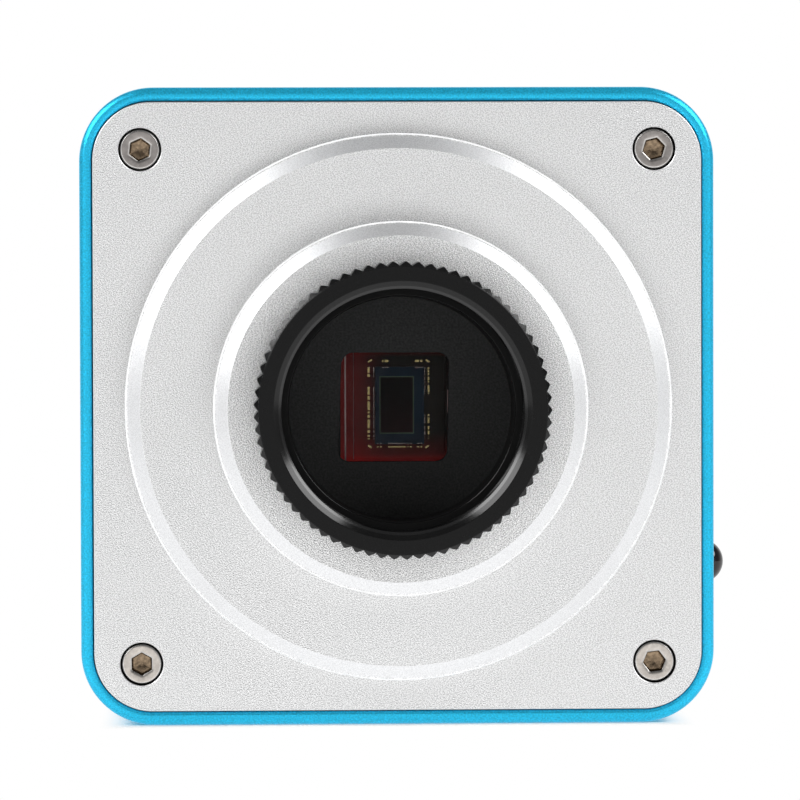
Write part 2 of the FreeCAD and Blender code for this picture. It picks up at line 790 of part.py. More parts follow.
def make_keys():
    """Five keys: a cap with a flange behind the rear plate, on the plunger of its own switch."""
    bore = "plunger_size + 2 * plunger_clearance"
    top = f"({REAR_FACE} + key_proud)"
    switches = []
    for i, name in enumerate(KEYS):
        cap = node(new_body(name))
        turn(cap, [
            ("0", KEY_FOOT),
            ("key_flange", KEY_FOOT),
            ("key_flange", REAR_INNER),
            ("key_radius", REAR_INNER),
            ("key_radius", f"{top} - key_edge"),
            ("key_radius - key_edge", top),
            ("0", top),
        ])
        place_at(cap, key_x(i), "0", "keys_up")

        plunger = (name.replace("key", "plunger"), key_x(i), PLUNGER_FOOT, "keys_up")
        node(block(*plunger, "plunger_size", f"{KEY_FOOT} - {PLUNGER_FOOT}", "plunger_size"))

        switch = new_body(f"switch_{i}")
        base = rectangle(section(switch, MAIN_BACK), "switch_size", "switch_size")
        pad(switch, base, "switch_height")
        hole = rectangle(section(switch, SWITCH_TOP), bore, bore)
        pocket(switch, hole, "plunger_reach + plunger_room", True)
        place_at(switch, key_x(i), "0", "keys_up")
        switches.append(switch)
    group = node(doc.addObject("Part::Compound", "key_switches"))
    group.Links = switches


def make_rear_plate():
    """Plain plate with openings for the sockets, the keys and the light."""
    body = node(new_body("rear_plate"))
    outer = rounded(section(body, REAR_INNER), PLATE_WIDTH, PLATE_HEIGHT, PLATE_CORNER)
    slab = pad(body, outer, "rear_thickness")
    chamfer(body, slab, [REAR_FACE], "plate_edge")
    cut_screw_holes(body, REAR_FACE, True)
    video = section(body, REAR_INNER, VIDEO_X, "-socket_drop")
    pocket(body, video_outline(video, "socket_clearance"))
    usb = section(body, REAR_INNER, "usb_right", "-socket_drop")
    pocket(body, usb_outline(usb, "socket_clearance"))
    nose = section(body, REAR_INNER, JACK_X, "-socket_drop")
    pocket(body, circle(nose, "jack_nose + socket_clearance"))
    card = section(body, REAR_INNER, "-card_left", "-card_drop")
    mouth = ("card_slot_width + 2 * card_margin", "card_slot_height + 2 * card_margin")
    pocket(body, rectangle(card, *mouth))
    light = section(body, REAR_INNER, "light_right", "-light_drop")
    pocket(body, circle(light, "pipe_radius + pipe_clearance"))
    for i in range(len(KEYS)):
        hole = section(body, REAR_INNER, key_x(i), "keys_up")
        pocket(body, circle(hole, "key_radius + key_clearance"))


def make_receiver():
    """Remote control receiver: a block behind the right wall, a dome through it and legs to the board."""
    inside = "(body_width / 2 - wall)"
    depth = f"({PLATE_FACE} + dome_setback)"
    length = "(wall + dome_proud - dome_radius)"
    middle = f"({inside} - receiver_thickness / 2)"
    half = "receiver_size / 2"
    case = ("receiver_case", middle, f"{depth} - {half}", DOME_Z)
    shapes = [block(*case, "receiver_thickness", "receiver_size", "receiver_size")]
    start = f"({depth} + {half})"
    for i in (-1, 0, 1):
        leg = (f"receiver_leg_{i + 1}", middle, start, f"{i} * leg_pitch + {DOME_Z}")
        shapes.append(block(*leg, "leg_size", f"{MAIN_FACE} - {start}", "leg_size"))
    neck = doc.addObject("Part::Cylinder", "receiver_neck")
    bind(neck, "Radius", "dome_radius")
    bind(neck, "Height", length)
    cap = doc.addObject("Part::Sphere", "receiver_cap")
    cap.Angle1 = 0
    bind(cap, "Radius", "dome_radius")
    for item, x in ((neck, inside), (cap, f"{inside} + {length}")):
        item.Placement = Placement(Vector(), Rotation(Vector(0, 1, 0), QUARTER_TURN))
        place_at(item, x, depth, DOME_Z)
        shapes.append(item)
    receiver = node(doc.addObject("Part::MultiFuse", "ir_receiver"))
    receiver.Shapes = shapes


make_housing()
make_front_plate()
make_mount_ring()
make_filter_holder()
make_filter_and_sensor()
make_boards()
make_ribbon()
make_plate_screw()
make_pillars()
make_chips()
make_sockets()
make_light()
make_keys()
make_rear_plate()
make_receiver()
doc.recompute()

# Nothing is written unless every object was built
for item in doc.Objects:
    if {"Invalid", "Error"} & set(item.State):
        raise RuntimeError(f"{item.Label} failed: {item.State}")
for item in nodes:
    if item.Shape.isNull() or not item.Shape.isValid() or not item.Shape.Solids:
        raise RuntimeError(f"{item.Label} has no sound shape")

os.makedirs("parts", exist_ok=True)
for item in nodes:
    item.Shape.exportStep(os.path.join("parts", f"{item.Label}.step"))
    print(f"{item.Label}: {len(item.Shape.Solids)} solids, {item.Shape.Volume:.2f} mm3")
print(f"{len(nodes)} sub-parts")
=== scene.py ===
"""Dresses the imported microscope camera: surfaces, finishes, light and the picture's viewpoint.

Lengths are in millimetres until a surface becomes a mesh. X runs to the right, Y along the optical axis from
the ring's front face into the body, and Z up. Flat outlines are arrays of (x, z).
"""
import math

import bmesh
import bpy
import numpy as np
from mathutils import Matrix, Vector
from mathutils.geometry import delaunay_2d_cdt


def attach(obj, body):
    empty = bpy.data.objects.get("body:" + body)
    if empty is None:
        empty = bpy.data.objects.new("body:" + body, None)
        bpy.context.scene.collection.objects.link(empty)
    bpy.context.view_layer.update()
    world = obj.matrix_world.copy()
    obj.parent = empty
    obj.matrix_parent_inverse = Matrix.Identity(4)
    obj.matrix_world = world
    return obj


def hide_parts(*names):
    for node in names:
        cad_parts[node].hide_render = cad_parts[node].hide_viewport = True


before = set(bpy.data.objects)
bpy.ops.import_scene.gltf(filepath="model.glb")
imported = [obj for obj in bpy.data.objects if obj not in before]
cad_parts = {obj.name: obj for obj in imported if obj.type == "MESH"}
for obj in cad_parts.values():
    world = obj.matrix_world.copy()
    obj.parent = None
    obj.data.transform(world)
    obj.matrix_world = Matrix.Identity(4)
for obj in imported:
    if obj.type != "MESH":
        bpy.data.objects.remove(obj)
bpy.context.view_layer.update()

MM = 0.001             # one millimetre in metres
JOIN = 2e-4            # points nearer than this become one
TURN = 2 * np.pi
CORNER_STEPS = 24      # sides in a large rounded corner
ROUND_SIDES = 360      # sides of the large turned forms
SIDEWAYS = [(0, 1, 0), (1, 0, 0), (0, 0, 1)]    # lays an axis along Y over to X

# Sizes and places that several pieces share

BODY_WIDTH, BODY_HEIGHT, BODY_CORNER = 66.2, 66.5, 7.7
INSIDE_WIDTH, INSIDE_HEIGHT, INSIDE_CORNER = 61.8, 62.1, 5.0
RIM_FRONT, HOUSING_BACK = 15.3, 57.3
PLATE_SIZE, PLATE_CORNER, PLATE_GAP = 63.4, 6.05, 0.12
PLATE_FACE, PLATE_BACK = 14.8, 18.6
TOP_STEP, LOW_STEP = 5.0, 10.5
RING_BORE, RING_BACK = 12.7, 9.0
MASK_SEAT, MASK_FRONT = 14.6, 13.0
PACKAGE_FRONT, PACKAGE_BACK = 16.93, 19.4
DIE_FACE, CAVITY_FLOOR = 17.526, 18.0
REAR_INNER, REAR_FACE = 53.8, 57.6
SCREW_OUT, SCREW_SUNK = 26.775, 0.15
SCREWS = [(x, z) for z in (SCREW_OUT, -SCREW_OUT) for x in (-SCREW_OUT, SCREW_OUT)]
DOME_DEPTH, DOME_UP = 34.8, -17.5
MAIN_BACK, SOCKET_FLOOR, TONGUE_END = 45.6, 46.6, 56.6
SOCKETS_UP, VIDEO_X, USB_X, JACK_X = -5.0, -14.0, 5.0, 20.0
LOW_ROW_UP, CARD_X, LIGHT_X = -16.0, -8.0, 8.0
FLANGE_INNER, KEYS_UP = 53.0, 11.0
KEYS = {"power": -20.0, "menu": -10.0, "down": 0.0, "up": 10.0, "snap": 20.0}
FLOOR = -33.25


# Surfaces

def skin(points, finish=0):
    """Four-cornered faces over a grid of points, whose last column joins its first.

    finish is one number for all faces, or one for each step from row to row.
    """
    rows, columns = points.shape[:2]
    index = np.arange(rows * columns).reshape(rows, columns)
    index = np.concatenate([index, index[:, :1]], axis=1)
    faces = np.stack([index[:-1, :-1], index[:-1, 1:], index[1:, 1:], index[1:, :-1]], axis=-1)
    picks = np.broadcast_to(np.reshape(finish, (-1, 1)), faces.shape[:2])
    return points.reshape(-1, 3), faces.reshape(-1, 4), picks.reshape(-1)


def soften(profile, radius, steps=4):
    """A profile with rounded corners: each corner P is cut back to A and B, and the parabola
    (1-t)^2 A + 2t(1-t) P + t^2 B joins the cuts. A cut is at most the radius, and a share of the shorter
    side.
    """
    most_share = 0.48
    line = np.asarray(profile, float)
    corner = line[1:-1]
    back, ahead = line[:-2] - corner, line[2:] - corner
    back_length = np.linalg.norm(back, axis=1, keepdims=True)
    ahead_length = np.linalg.norm(ahead, axis=1, keepdims=True)
    cut = np.minimum(np.reshape(radius, (-1, 1)), most_share * np.minimum(back_length, ahead_length))
    first = (corner + back / back_length * cut)[:, None]
    last = (corner + ahead / ahead_length * cut)[:, None]
    t = np.linspace(0, 1, steps + 1)[None, :, None]
    arcs = (1 - t) ** 2 * first + 2 * t * (1 - t) * corner[:, None] + t ** 2 * last
    return np.concatenate([line[:1], arcs.reshape(-1, line.shape[1]), line[-1:]])


def along(picks, steps=4):
    """One finish for each step of a softened profile, from one for each of its straight parts."""
    count = 1 + (len(picks) - 1) * (steps + 1)
    return np.asarray(picks)[(np.arange(count) + steps // 2) // (steps + 1)]


def ring(radius, sides, centre=(0, 0)):
    """A circle's outline: centre plus radius times the cosine and sine of equal steps."""
    angle = np.arange(sides) * TURN / sides
    return np.stack([centre[0] + radius * np.cos(angle), centre[1] + radius * np.sin(angle)], axis=-1)


def lofted(outlines, depths, finish=0):
    """Outlines of equally many points, one at each depth, joined in order."""
    flat_points = np.asarray(outlines, float)
    depth = np.broadcast_to(np.reshape(depths, (-1, 1)), flat_points.shape[:2])
    return skin(np.stack([flat_points[..., 0], depth, flat_points[..., 1]], axis=-1), finish)


def turned(profile, sides, centre=(0, 0), finish=0):
    """A profile of (radius, depth) carried round an axis along Y: each radius times the unit circle."""
    line = np.asarray(profile, float)
    return lofted(centre + line[:, :1, None] * ring(1, sides), line[:, 1], finish)


def rounded(width, height, corner, centre=(0, 0), steps=10):
    """A rectangle's outline with quarter circles at its corners, from the right side's top anticlockwise."""
    quarter = np.linspace(0, np.pi / 2, steps + 1)
    angle = (np.arange(4)[:, None] * np.pi / 2 + quarter).ravel()
    right = np.repeat([1, -1, -1, 1], steps + 1)
    up = np.repeat([1, 1, -1, -1], steps + 1)
    x = centre[0] + right * (width / 2 - corner) + corner * np.cos(angle)
    z = centre[1] + up * (height / 2 - corner) + corner * np.sin(angle)
    return np.stack([x, z], axis=-1)


def within(outline, points):
    """Which points lie inside an outline: a ray to the right crosses its sides an odd number of times."""
    start, end = outline, np.roll(outline, -1, axis=0)
    x, z = points[:, None, 0], points[:, None, 1]
    crosses = (start[:, 1] > z) != (end[:, 1] > z)
    rise = np.where(end[:, 1] == start[:, 1], 1e-30, end[:, 1] - start[:, 1])
    meets = start[:, 0] + (z - start[:, 1]) * (end[:, 0] - start[:, 0]) / rise
    return np.sum(crosses & (x < meets), axis=1) % 2 == 1


def level(depth, outline, *openings, finish=0):
    """A flat face at one depth: triangles that keep every side of an outline and of its openings."""
    inside_only, nearness = 1, 1e-6
    outlines = [outline, *openings]
    corners = np.concatenate(outlines)
    counts = np.array([len(one) for one in outlines])
    starts = np.repeat(np.cumsum(counts) - counts, counts)
    here = np.arange(len(corners)) - starts
    sides = np.stack([starts + here, starts + (here + 1) % np.repeat(counts, counts)], axis=-1)
    found = delaunay_2d_cdt(corners.tolist(), sides.tolist(), [], inside_only, nearness)
    found_triangles, found_sources = found[2], found[3]
    triangles = np.array(found_sources)[:, 0][np.array(found_triangles)]
    middles = corners[triangles].mean(axis=1)
    kept = within(outline, middles)
    for opening in openings:
        kept &= ~within(opening, middles)
    faces = np.concatenate([triangles, triangles[:, -1:]], axis=1)[kept]
    return np.insert(corners, 1, depth, axis=1), faces, np.full(len(faces), finish)


def moved(surface, matrix, offset=(0, 0, 0)):
    """A surface with its points taken through a matrix, then shifted."""
    points, faces, picks = surface
    return points @ np.asarray(matrix, float).T + np.asarray(offset, float), faces, picks


def box(width, length, height, centre, finish=0, corner=0.12):
    """A block with rounded upright edges and softened ends, centred at a point, its length along Y."""
    most_corner, most_edge, steps = 0.24, 0.3, 3
    corner = min(corner, most_corner * width, most_corner * height)
    edge = min(corner, most_edge * length)
    shrink = (edge, 0, 0, edge)
    depth = np.array([0, edge, length - edge, length]) + centre[1] - length / 2
    sides = [rounded(width - 2 * s, height - 2 * s, corner, (centre[0], centre[2]), steps) for s in shrink]
    return [lofted(sides, depth, finish), level(depth[0], sides[0], finish=finish),
            level(depth[-1], sides[-1], finish=finish)]


def piece(name, body, finishes, surfaces, replaces=(), crease=28):
    """One mesh from surfaces: points that meet become one, and faces that shrink to a line are dropped.

    Corners that repeat the next corner are left out of a face, so poles come out as triangles.
    """
    counts = np.array([len(points) for points, _, _ in surfaces])
    starts = np.cumsum(counts) - counts
    points = np.concatenate([points for points, _, _ in surfaces])
    faces = np.concatenate([faces + start for start, (_, faces, _) in zip(starts, surfaces)])
    picks = np.concatenate([picks for _, _, picks in surfaces])
    _, first, place = np.unique(np.round(points / JOIN).astype(np.int64), axis=0,
                                return_index=True, return_inverse=True)
    corners = place.reshape(-1)[faces]
    kept = corners != np.roll(corners, -1, axis=1)
    sides = kept.sum(axis=1)
    whole = sides > 2
    mesh = bpy.data.meshes.new(name)
    mesh.vertices.add(len(first))
    mesh.vertices.foreach_set("co", (points[first] * MM).astype(np.float32).ravel())
    loops = corners[whole][kept[whole]]
    mesh.loops.add(len(loops))
    mesh.loops.foreach_set("vertex_index", loops.astype(np.int32))
    mesh.polygons.add(int(whole.sum()))
    mesh.polygons.foreach_set("loop_start", (np.cumsum(sides[whole]) - sides[whole]).astype(np.int32))
    mesh.polygons.foreach_set("material_index", picks[whole].astype(np.int32))
    mesh.update(calc_edges=True)
    mesh.validate()
    for finish in finishes:
        mesh.materials.append(finish)
    turned_out = bmesh.new()
    turned_out.from_mesh(mesh)
    bmesh.ops.recalc_face_normals(turned_out, faces=turned_out.faces)
    turned_out.to_mesh(mesh)
    turned_out.free()
    mesh.shade_smooth()
    mesh.set_sharp_from_angle(angle=math.radians(crease))
    made = bpy.data.objects.new(name, mesh)
    bpy.context.scene.collection.objects.link(made)
    even = made.modifiers.new("flats_stay_flat", "WEIGHTED_NORMAL")
    even.weight = 80
    even.keep_sharp = True
    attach(made, body)
    if replaces:
        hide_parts(*replaces)


# Finishes

def finish_of(name, colour, metallic=0.0, rough=0.5, **sockets):
    """A finish with one principled shader; further sockets are set by their own names."""
    made = bpy.data.materials.new(name)
    made.use_nodes = True
    shader = made.node_tree.nodes["Principled BSDF"]
    shader.inputs["Base Color"].default_value = (*colour, 1)
    shader.inputs["Metallic"].default_value = metallic
    shader.inputs["Roughness"].default_value = rough
    for socket, amount in sockets.items():
        shader.inputs[socket.replace("_", " ")].default_value = amount
    return made


def joined(tree, kind, operation, first, second):
    """What a math node makes of two values, or a vector math node of two tones."""
    node = tree.nodes.new(kind)
    node.operation = operation
    tree.links.new(first, node.inputs[0])
    tree.links.new(second, node.inputs[1])
    return node.outputs[0]


def ranged(tree, value, start, end, first, last, kind="LINEAR"):
    """An amount that goes from first to last as a value goes from start to end."""
    node = tree.nodes.new("ShaderNodeMapRange")
    node.interpolation_type = kind
    for socket, amount in zip(("From Min", "From Max", "To Min", "To Max"), (start, end, first, last)):
        node.inputs[socket].default_value = amount
    tree.links.new(value, node.inputs["Value"])
    return node.outputs["Result"]


def grain(finish, size, stretch=(1, 1, 1), turn=(0, 0, 0), detail=2.0):
    """Noise on the piece's own coordinates: lumps of a size in millimetres, stretched and turned."""
    nodes, links = finish.node_tree.nodes, finish.node_tree.links
    place = nodes.new("ShaderNodeTexCoord")
    mapping = nodes.new("ShaderNodeMapping")
    mapping.inputs["Rotation"].default_value = [math.radians(a) for a in turn]
    mapping.inputs["Scale"].default_value = [1 / (size * MM * s) for s in stretch]
    noise = nodes.new("ShaderNodeTexNoise")
    noise.inputs["Scale"].default_value = 1.0
    noise.inputs["Detail"].default_value = detail
    links.new(place.outputs["Object"], mapping.inputs["Vector"])
    links.new(mapping.outputs["Vector"], noise.inputs["Vector"])
    return noise.outputs["Fac"]


def roughened(finish, height, depth):
    """Raises a pattern by a depth in millimetres, over any relief that the finish has already."""
    nodes, links = finish.node_tree.nodes, finish.node_tree.links
    shader = nodes["Principled BSDF"]
    bump = nodes.new("ShaderNodeBump")
    bump.inputs["Strength"].default_value = 1.0
    bump.inputs["Distance"].default_value = depth * MM
    links.new(height, bump.inputs["Height"])
    if shader.inputs["Normal"].is_linked:
        links.new(shader.inputs["Normal"].links[0].from_socket, bump.inputs["Normal"])
    links.new(bump.outputs["Normal"], shader.inputs["Normal"])
    return finish


def mottled(finish, pattern, dark, light, low=0.35, high=0.65):
    """Colours the finish from a dark to a light tone as a pattern goes from low to high."""
    nodes, links = finish.node_tree.nodes, finish.node_tree.links
    ramp = nodes.new("ShaderNodeValToRGB")
    ramp.color_ramp.elements[0].position = low
    ramp.color_ramp.elements[0].color = (*dark, 1)
    ramp.color_ramp.elements[1].position = high
    ramp.color_ramp.elements[1].color = (*light, 1)
    links.new(pattern, ramp.inputs["Fac"])
    links.new(ramp.outputs["Color"], nodes["Principled BSDF"].inputs["Base Color"])
    return finish


def glossed(finish, pattern, low, high):
    """Varies the roughness between two amounts as a pattern goes through its middle range."""
    tree = finish.node_tree
    rough = ranged(tree, pattern, 0.3, 0.7, low, high)
    tree.links.new(rough, tree.nodes["Principled BSDF"].inputs["Roughness"])
    return finish


def moulded(name, colour, rough=0.45, tone=0.8, size=0.12, depth=0.004, **sockets):
    """Plastic or lacquer with a fine moulded grain: one noise for the relief and one for the tone."""
    made = finish_of(name, colour, 0.0, rough, **sockets)
    mottled(made, grain(made, size * 6, detail=3), [c * tone for c in colour], colour)
    return roughened(made, grain(made, size), depth)


def metal(name, colour, rough=0.3, tone=0.85, size=0.12, depth=0.003, metallic=1.0, **sockets):
    """Bare, plated or anodised metal with a fine worked grain in its tone, gloss and relief."""
    made = finish_of(name, colour, metallic, rough, **sockets)
    mottled(made, grain(made, size * 3, detail=3), [c * tone for c in colour], colour)
    glossed(made, grain(made, size * 8), rough * 0.85, rough * 1.15)
    return roughened(made, grain(made, size), depth)


def blasted(name, colour, rough, depth, tone):
    """Bead-blasted aluminium: pits of a tenth of a millimetre in tone and relief, with finer ones on top."""
    pit, fine_pit, fine_share, brighter = 0.1, 0.08, 0.4, 1.08
    made = finish_of(name, colour, 1.0, rough)
    pits = grain(made, pit, stretch=(1.35, 1, 1), turn=(0, 25, 0), detail=0.5)
    light = [min(1, c * brighter) for c in colour]
    mottled(made, pits, [c * tone for c in colour], light, low=0.36, high=0.62)
    roughened(made, pits, depth)
    return roughened(made, grain(made, fine_pit, detail=1), depth * fine_share)


def painted_reflection(finish, clear, red, sides):
    """Paints the filter's reflection onto a finish behind it: a painted reflection, from the clear tone to
    the red tone by the sum of soft steps.

    Each of the sides is an axis, the places in millimetres where its step starts and ends, and its amount.
    """
    tree = finish.node_tree
    place = tree.nodes.new("ShaderNodeTexCoord")
    parts = tree.nodes.new("ShaderNodeSeparateXYZ")
    tree.links.new(place.outputs["Object"], parts.inputs["Vector"])
    reflection_share = None
    for axis, start, end, most in sides:
        step = ranged(tree, parts.outputs[axis], start * MM, end * MM, most, 0.0, "SMOOTHSTEP")
        reflection_share = step if reflection_share is None else joined(tree, "ShaderNodeMath", "ADD", step, reflection_share)
    return mottled(finish, reflection_share, clear, red, 0.0, 1.0)


SILVER = blasted("blasted_silver", (0.9, 0.902, 0.905), rough=0.37, depth=0.05, tone=0.71)
BRIGHT_CUT = blasted("blasted_edge", (0.8, 0.805, 0.816), rough=0.5, depth=0.02, tone=0.92)
COARSE = blasted("blasted_coarse", (0.96, 0.962, 0.965), rough=0.44, depth=0.065, tone=0.57)
# Step walls: a turned finish; its darker grey is partly painted shade, which the plate mirrors as darker
# feet of the steps.
TURNED_SHADED = metal("turned_wall_painted_shade", (0.62, 0.62, 0.62), rough=0.35, size=0.15, depth=0.004)
# Counterbore walls and seats: near-black metal, painted shade in the gap round the screw heads.
SHADED_BORE = metal("bore_painted_shade", (0.1, 0.1, 0.1), rough=0.6)
# Hairline chamfers: a near-white non-metal, a painted highlight that stays bright under any light.
HAIRLINE_HIGHLIGHT = moulded("hairline_painted_highlight", (0.95, 0.955, 0.96), rough=0.5, tone=0.85)
BLUE = metal("anodised_blue", (0.023, 0.61, 0.95), rough=0.34, tone=0.72, size=0.06, depth=0.012,
             metallic=0.7)
BLACK = metal("black_anodised", (0.0032, 0.0032, 0.0033), rough=0.25, tone=0.8, size=0.1, depth=0.002,
              metallic=0.0, Specular_IOR_Level=0.17)
POLISHED = moulded("black_polished", (0.004, 0.004, 0.0041), rough=0.16, size=0.1, depth=0.001,
                   Specular_IOR_Level=0.31)
EDGE = moulded("black_edge", (0.006, 0.006, 0.0062), rough=0.2, size=0.1, depth=0.001,
               Specular_IOR_Level=0.56)
THROAT = moulded("black_matt", (0.0052, 0.0052, 0.0052), rough=0.8, size=0.1, depth=0.002,
                 Specular_IOR_Level=0.14)
STEEL = metal("screw_steel", (0.36, 0.335, 0.32), tone=0.8, depth=0.004)
# Lighter steel for the heads of the lower pair of screws.
LOWER_STEEL = metal("screw_steel_lower", (0.615, 0.57, 0.525), tone=0.8, depth=0.004)
SCREW_BEVEL = metal("screw_bevel", (0.78, 0.76, 0.74))
HEX_MOUTH = metal("hex_mouth", (0.55, 0.53, 0.51))
# Socket walls: near-black brown, painted shade inside the hexagon sockets.
HEX_WALL_SHADE = metal("hex_wall_painted_shade", (0.08, 0.055, 0.03), rough=0.4)
HEX_FLOOR = metal("hex_floor", (0.325, 0.238, 0.158), rough=0.26, tone=0.5, depth=0.02)
MASK = finish_of("mask_black", (0.012, 0.0125, 0.0125), rough=0.7, Specular_IOR_Level=0.4)
mottled(MASK, grain(MASK, 0.22, detail=1), (0.003, 0.0034, 0.0034), (0.0175, 0.018, 0.018), 0.3, 0.7)
roughened(MASK, grain(MASK, 0.2, detail=1), 0.05)
FILTER = finish_of("filter_red", (0.05, 0.01, 0.01), rough=0.04, Alpha=0.03, Specular_IOR_Level=0.05)
mottled(FILTER, grain(FILTER, 2.0), (0.04, 0.008, 0.008), (0.05, 0.01, 0.01))
GLASS = finish_of("clear_glass", (0.2, 0.22, 0.24), rough=0.03, Alpha=0.02, Specular_IOR_Level=0.1)
mottled(GLASS, grain(GLASS, 2.0), (0.16, 0.18, 0.2), (0.2, 0.22, 0.24))
# Package: painted red reflection of the filter, strongest at the left, the foot and the top edge.
PACKAGE = painted_reflection(moulded("package_dark", (0.04, 0.036, 0.03), rough=0.6, Specular_IOR_Level=0.2),
                   (0.036, 0.034, 0.028), (0.88, 0.056, 0.056),
                   [("X", -6.2, -0.6, 0.4), ("X", -6.2, -5.3, 0.18), ("Z", -6.0, -2.5, 0.26),
                    ("Z", -5.8, -5.0, 0.4), ("Z", 5.8, 5.0, 0.22)])
SEAL = moulded("seal_grey", (0.5, 0.34, 0.33), rough=0.5)
# Die: painted light, a paler blue-grey towards the left and the foot.
SENSOR = painted_reflection(moulded("sensor_blue", (0.008, 0.034, 0.066), rough=0.3, size=0.3, depth=0.0005,
                          Specular_IOR_Level=0.1),
                  (0.006, 0.032, 0.06), (0.05, 0.07, 0.1), [("X", -2.4, -0.5, 0.6), ("Z", -4.1, -1.0, 0.5)])
# Pixel field: painted red reflection of the filter, strongest towards the foot.
ACTIVE = painted_reflection(moulded("sensor_active", (0.014, 0.013, 0.012), rough=0.3, size=0.05, depth=0.0003,
                          Specular_IOR_Level=0.04),
                  (0.014, 0.014, 0.0125), (0.036, 0.018, 0.018), [("Z", -3.2, 1.8, 0.9)])
BORDER = moulded("sensor_border", (0.06, 0.14, 0.07), rough=0.3)
DIE_PAD = metal("die_pads", (0.2, 0.165, 0.155), rough=0.2)
BOND = metal("bond_pads", (0.27, 0.22, 0.1), rough=0.12, tone=0.95)
GOLD = metal("contact_gold", (0.85, 0.7, 0.3), rough=0.2)
GASKET = moulded("gasket_black", (0.02, 0.02, 0.02), rough=0.8)
BOARD = moulded("board_green", (0.015, 0.16, 0.06), rough=0.4)
CHIP = moulded("chip_black", (0.02, 0.02, 0.022), rough=0.55)
BRASS = metal("pillar_brass", (0.78, 0.58, 0.26))
WHITE = moulded("connector_white", (0.82, 0.81, 0.77), rough=0.5, tone=0.92)
RIBBON = moulded("ribbon_white", (0.86, 0.86, 0.84), tone=0.92)
SOCKET = metal("socket_steel", (0.74, 0.74, 0.73), rough=0.24, tone=0.88)
PLASTIC = moulded("plastic_black", (0.014, 0.014, 0.015), rough=0.42, tone=0.7, size=0.15, depth=0.01)
DOME = moulded("dome_black", (0.008, 0.005, 0.006), rough=0.06, tone=0.7, size=0.4, depth=0.002)
CLEAR = moulded("light_clear", (0.80, 0.84, 0.86), rough=0.25, tone=0.9)
KEY = metal("key_silver", (0.72, 0.725, 0.73), rough=0.34, tone=0.86, size=0.14, depth=0.008)


# The front

def make_housing():
    """Extruded tube: an outline that goes from the outside (inset 0) to the plate's seat along a profile of
    (inset, depth), with both rims rounded. The right-hand wall is a flat face with the dome's hole.
    """
    seat, chamfer, edge = 1.28, 0.24, 0.5
    crisp, soft = 0.12, 0.3
    line = soften([
        (seat, PLATE_BACK), (seat, RIM_FRONT + chamfer), (seat - chamfer, RIM_FRONT), (edge, RIM_FRONT),
        (0, RIM_FRONT + edge), (0, HOUSING_BACK - edge), (edge, HOUSING_BACK),
        (seat - chamfer, HOUSING_BACK), (seat, HOUSING_BACK - chamfer), (seat, REAR_INNER)],
        [crisp, crisp, soft, soft, soft, soft, crisp, crisp])
    share = line[:, 0] / seat
    room = PLATE_SIZE + 2 * PLATE_GAP
    outlines = [rounded(BODY_WIDTH - s * (BODY_WIDTH - room), BODY_HEIGHT - s * (BODY_HEIGHT - room),
                        BODY_CORNER - s * (BODY_CORNER - PLATE_CORNER - PLATE_GAP), steps=CORNER_STEPS)
                for s in share]
    inside = rounded(INSIDE_WIDTH, INSIDE_HEIGHT, INSIDE_CORNER, steps=CORNER_STEPS)
    outlines = [inside, *outlines, inside]
    depths = np.concatenate([[PLATE_BACK], line[:, 1], [REAR_INNER]])
    points, faces, picks = lofted(outlines, depths)
    columns = len(inside)
    long_row = int(np.argmax(np.diff(depths)))
    right_wall = long_row * columns + columns - 1
    tube = (points, np.delete(faces, right_wall, axis=0), picks[1:])
    bore = lofted([inside, inside], [REAR_INNER, PLATE_BACK])

    front, back = depths[long_row], depths[long_row + 1]
    tall = BODY_HEIGHT / 2 - BODY_CORNER
    wall = np.array([(front, -tall), (back, -tall), (back, tall), (front, tall)])
    mouth_radius, hole_radius, bevel, sides = 2.72, 2.6, 0.12, 72
    outside, centre = BODY_WIDTH / 2, (DOME_DEPTH, DOME_UP)
    side = level(outside, wall, ring(mouth_radius, sides, centre))
    hole = turned([(mouth_radius, outside), (hole_radius, outside - bevel), (hole_radius, INSIDE_WIDTH / 2)],
                  sides, centre)
    piece("housing", "camera", [BLUE],
          [tube, bore, moved(side, SIDEWAYS), moved(hole, SIDEWAYS)], ["housing_shell"])


PLATE_FINISHES = [SILVER, BRIGHT_CUT, SHADED_BORE]
ON_FACE, ON_CUT, ON_SHADED_BORE = range(3)


def plate(face, back, face_openings, back_openings):
    """Both faces, the edge and the four counterbores of a plate that lies between two depths."""
    inwards = 1 if back > face else -1
    bevel, mouth, head, shank, seat, sides = 0.08, 2.33, 2.25, 1.4, 2.55, 64
    bevel_end, seat_depth = face + bevel * inwards, face + seat * inwards
    near = rounded(PLATE_SIZE - 2 * bevel, PLATE_SIZE - 2 * bevel, PLATE_CORNER - bevel, steps=CORNER_STEPS)
    edge = rounded(PLATE_SIZE, PLATE_SIZE, PLATE_CORNER, steps=CORNER_STEPS)
    rim = lofted([near, edge, edge], [face, bevel_end, back], [ON_CUT, ON_FACE])
    mouths = [ring(mouth, sides, centre) for centre in SCREWS]
    shanks = [ring(shank, sides, centre) for centre in SCREWS]
    bore = [(mouth, face), (head, bevel_end), (head, seat_depth), (shank, seat_depth), (shank, back)]
    # The counterbores' walls and seats take the dark finish: painted shade round the screw heads.
    bores = [turned(bore, sides, centre, [ON_CUT, ON_SHADED_BORE, ON_SHADED_BORE, ON_SHADED_BORE]) for centre in SCREWS]
    return [rim, level(face, near, *face_openings, *mouths), level(back, edge, *back_openings, *shanks),
            *bores]


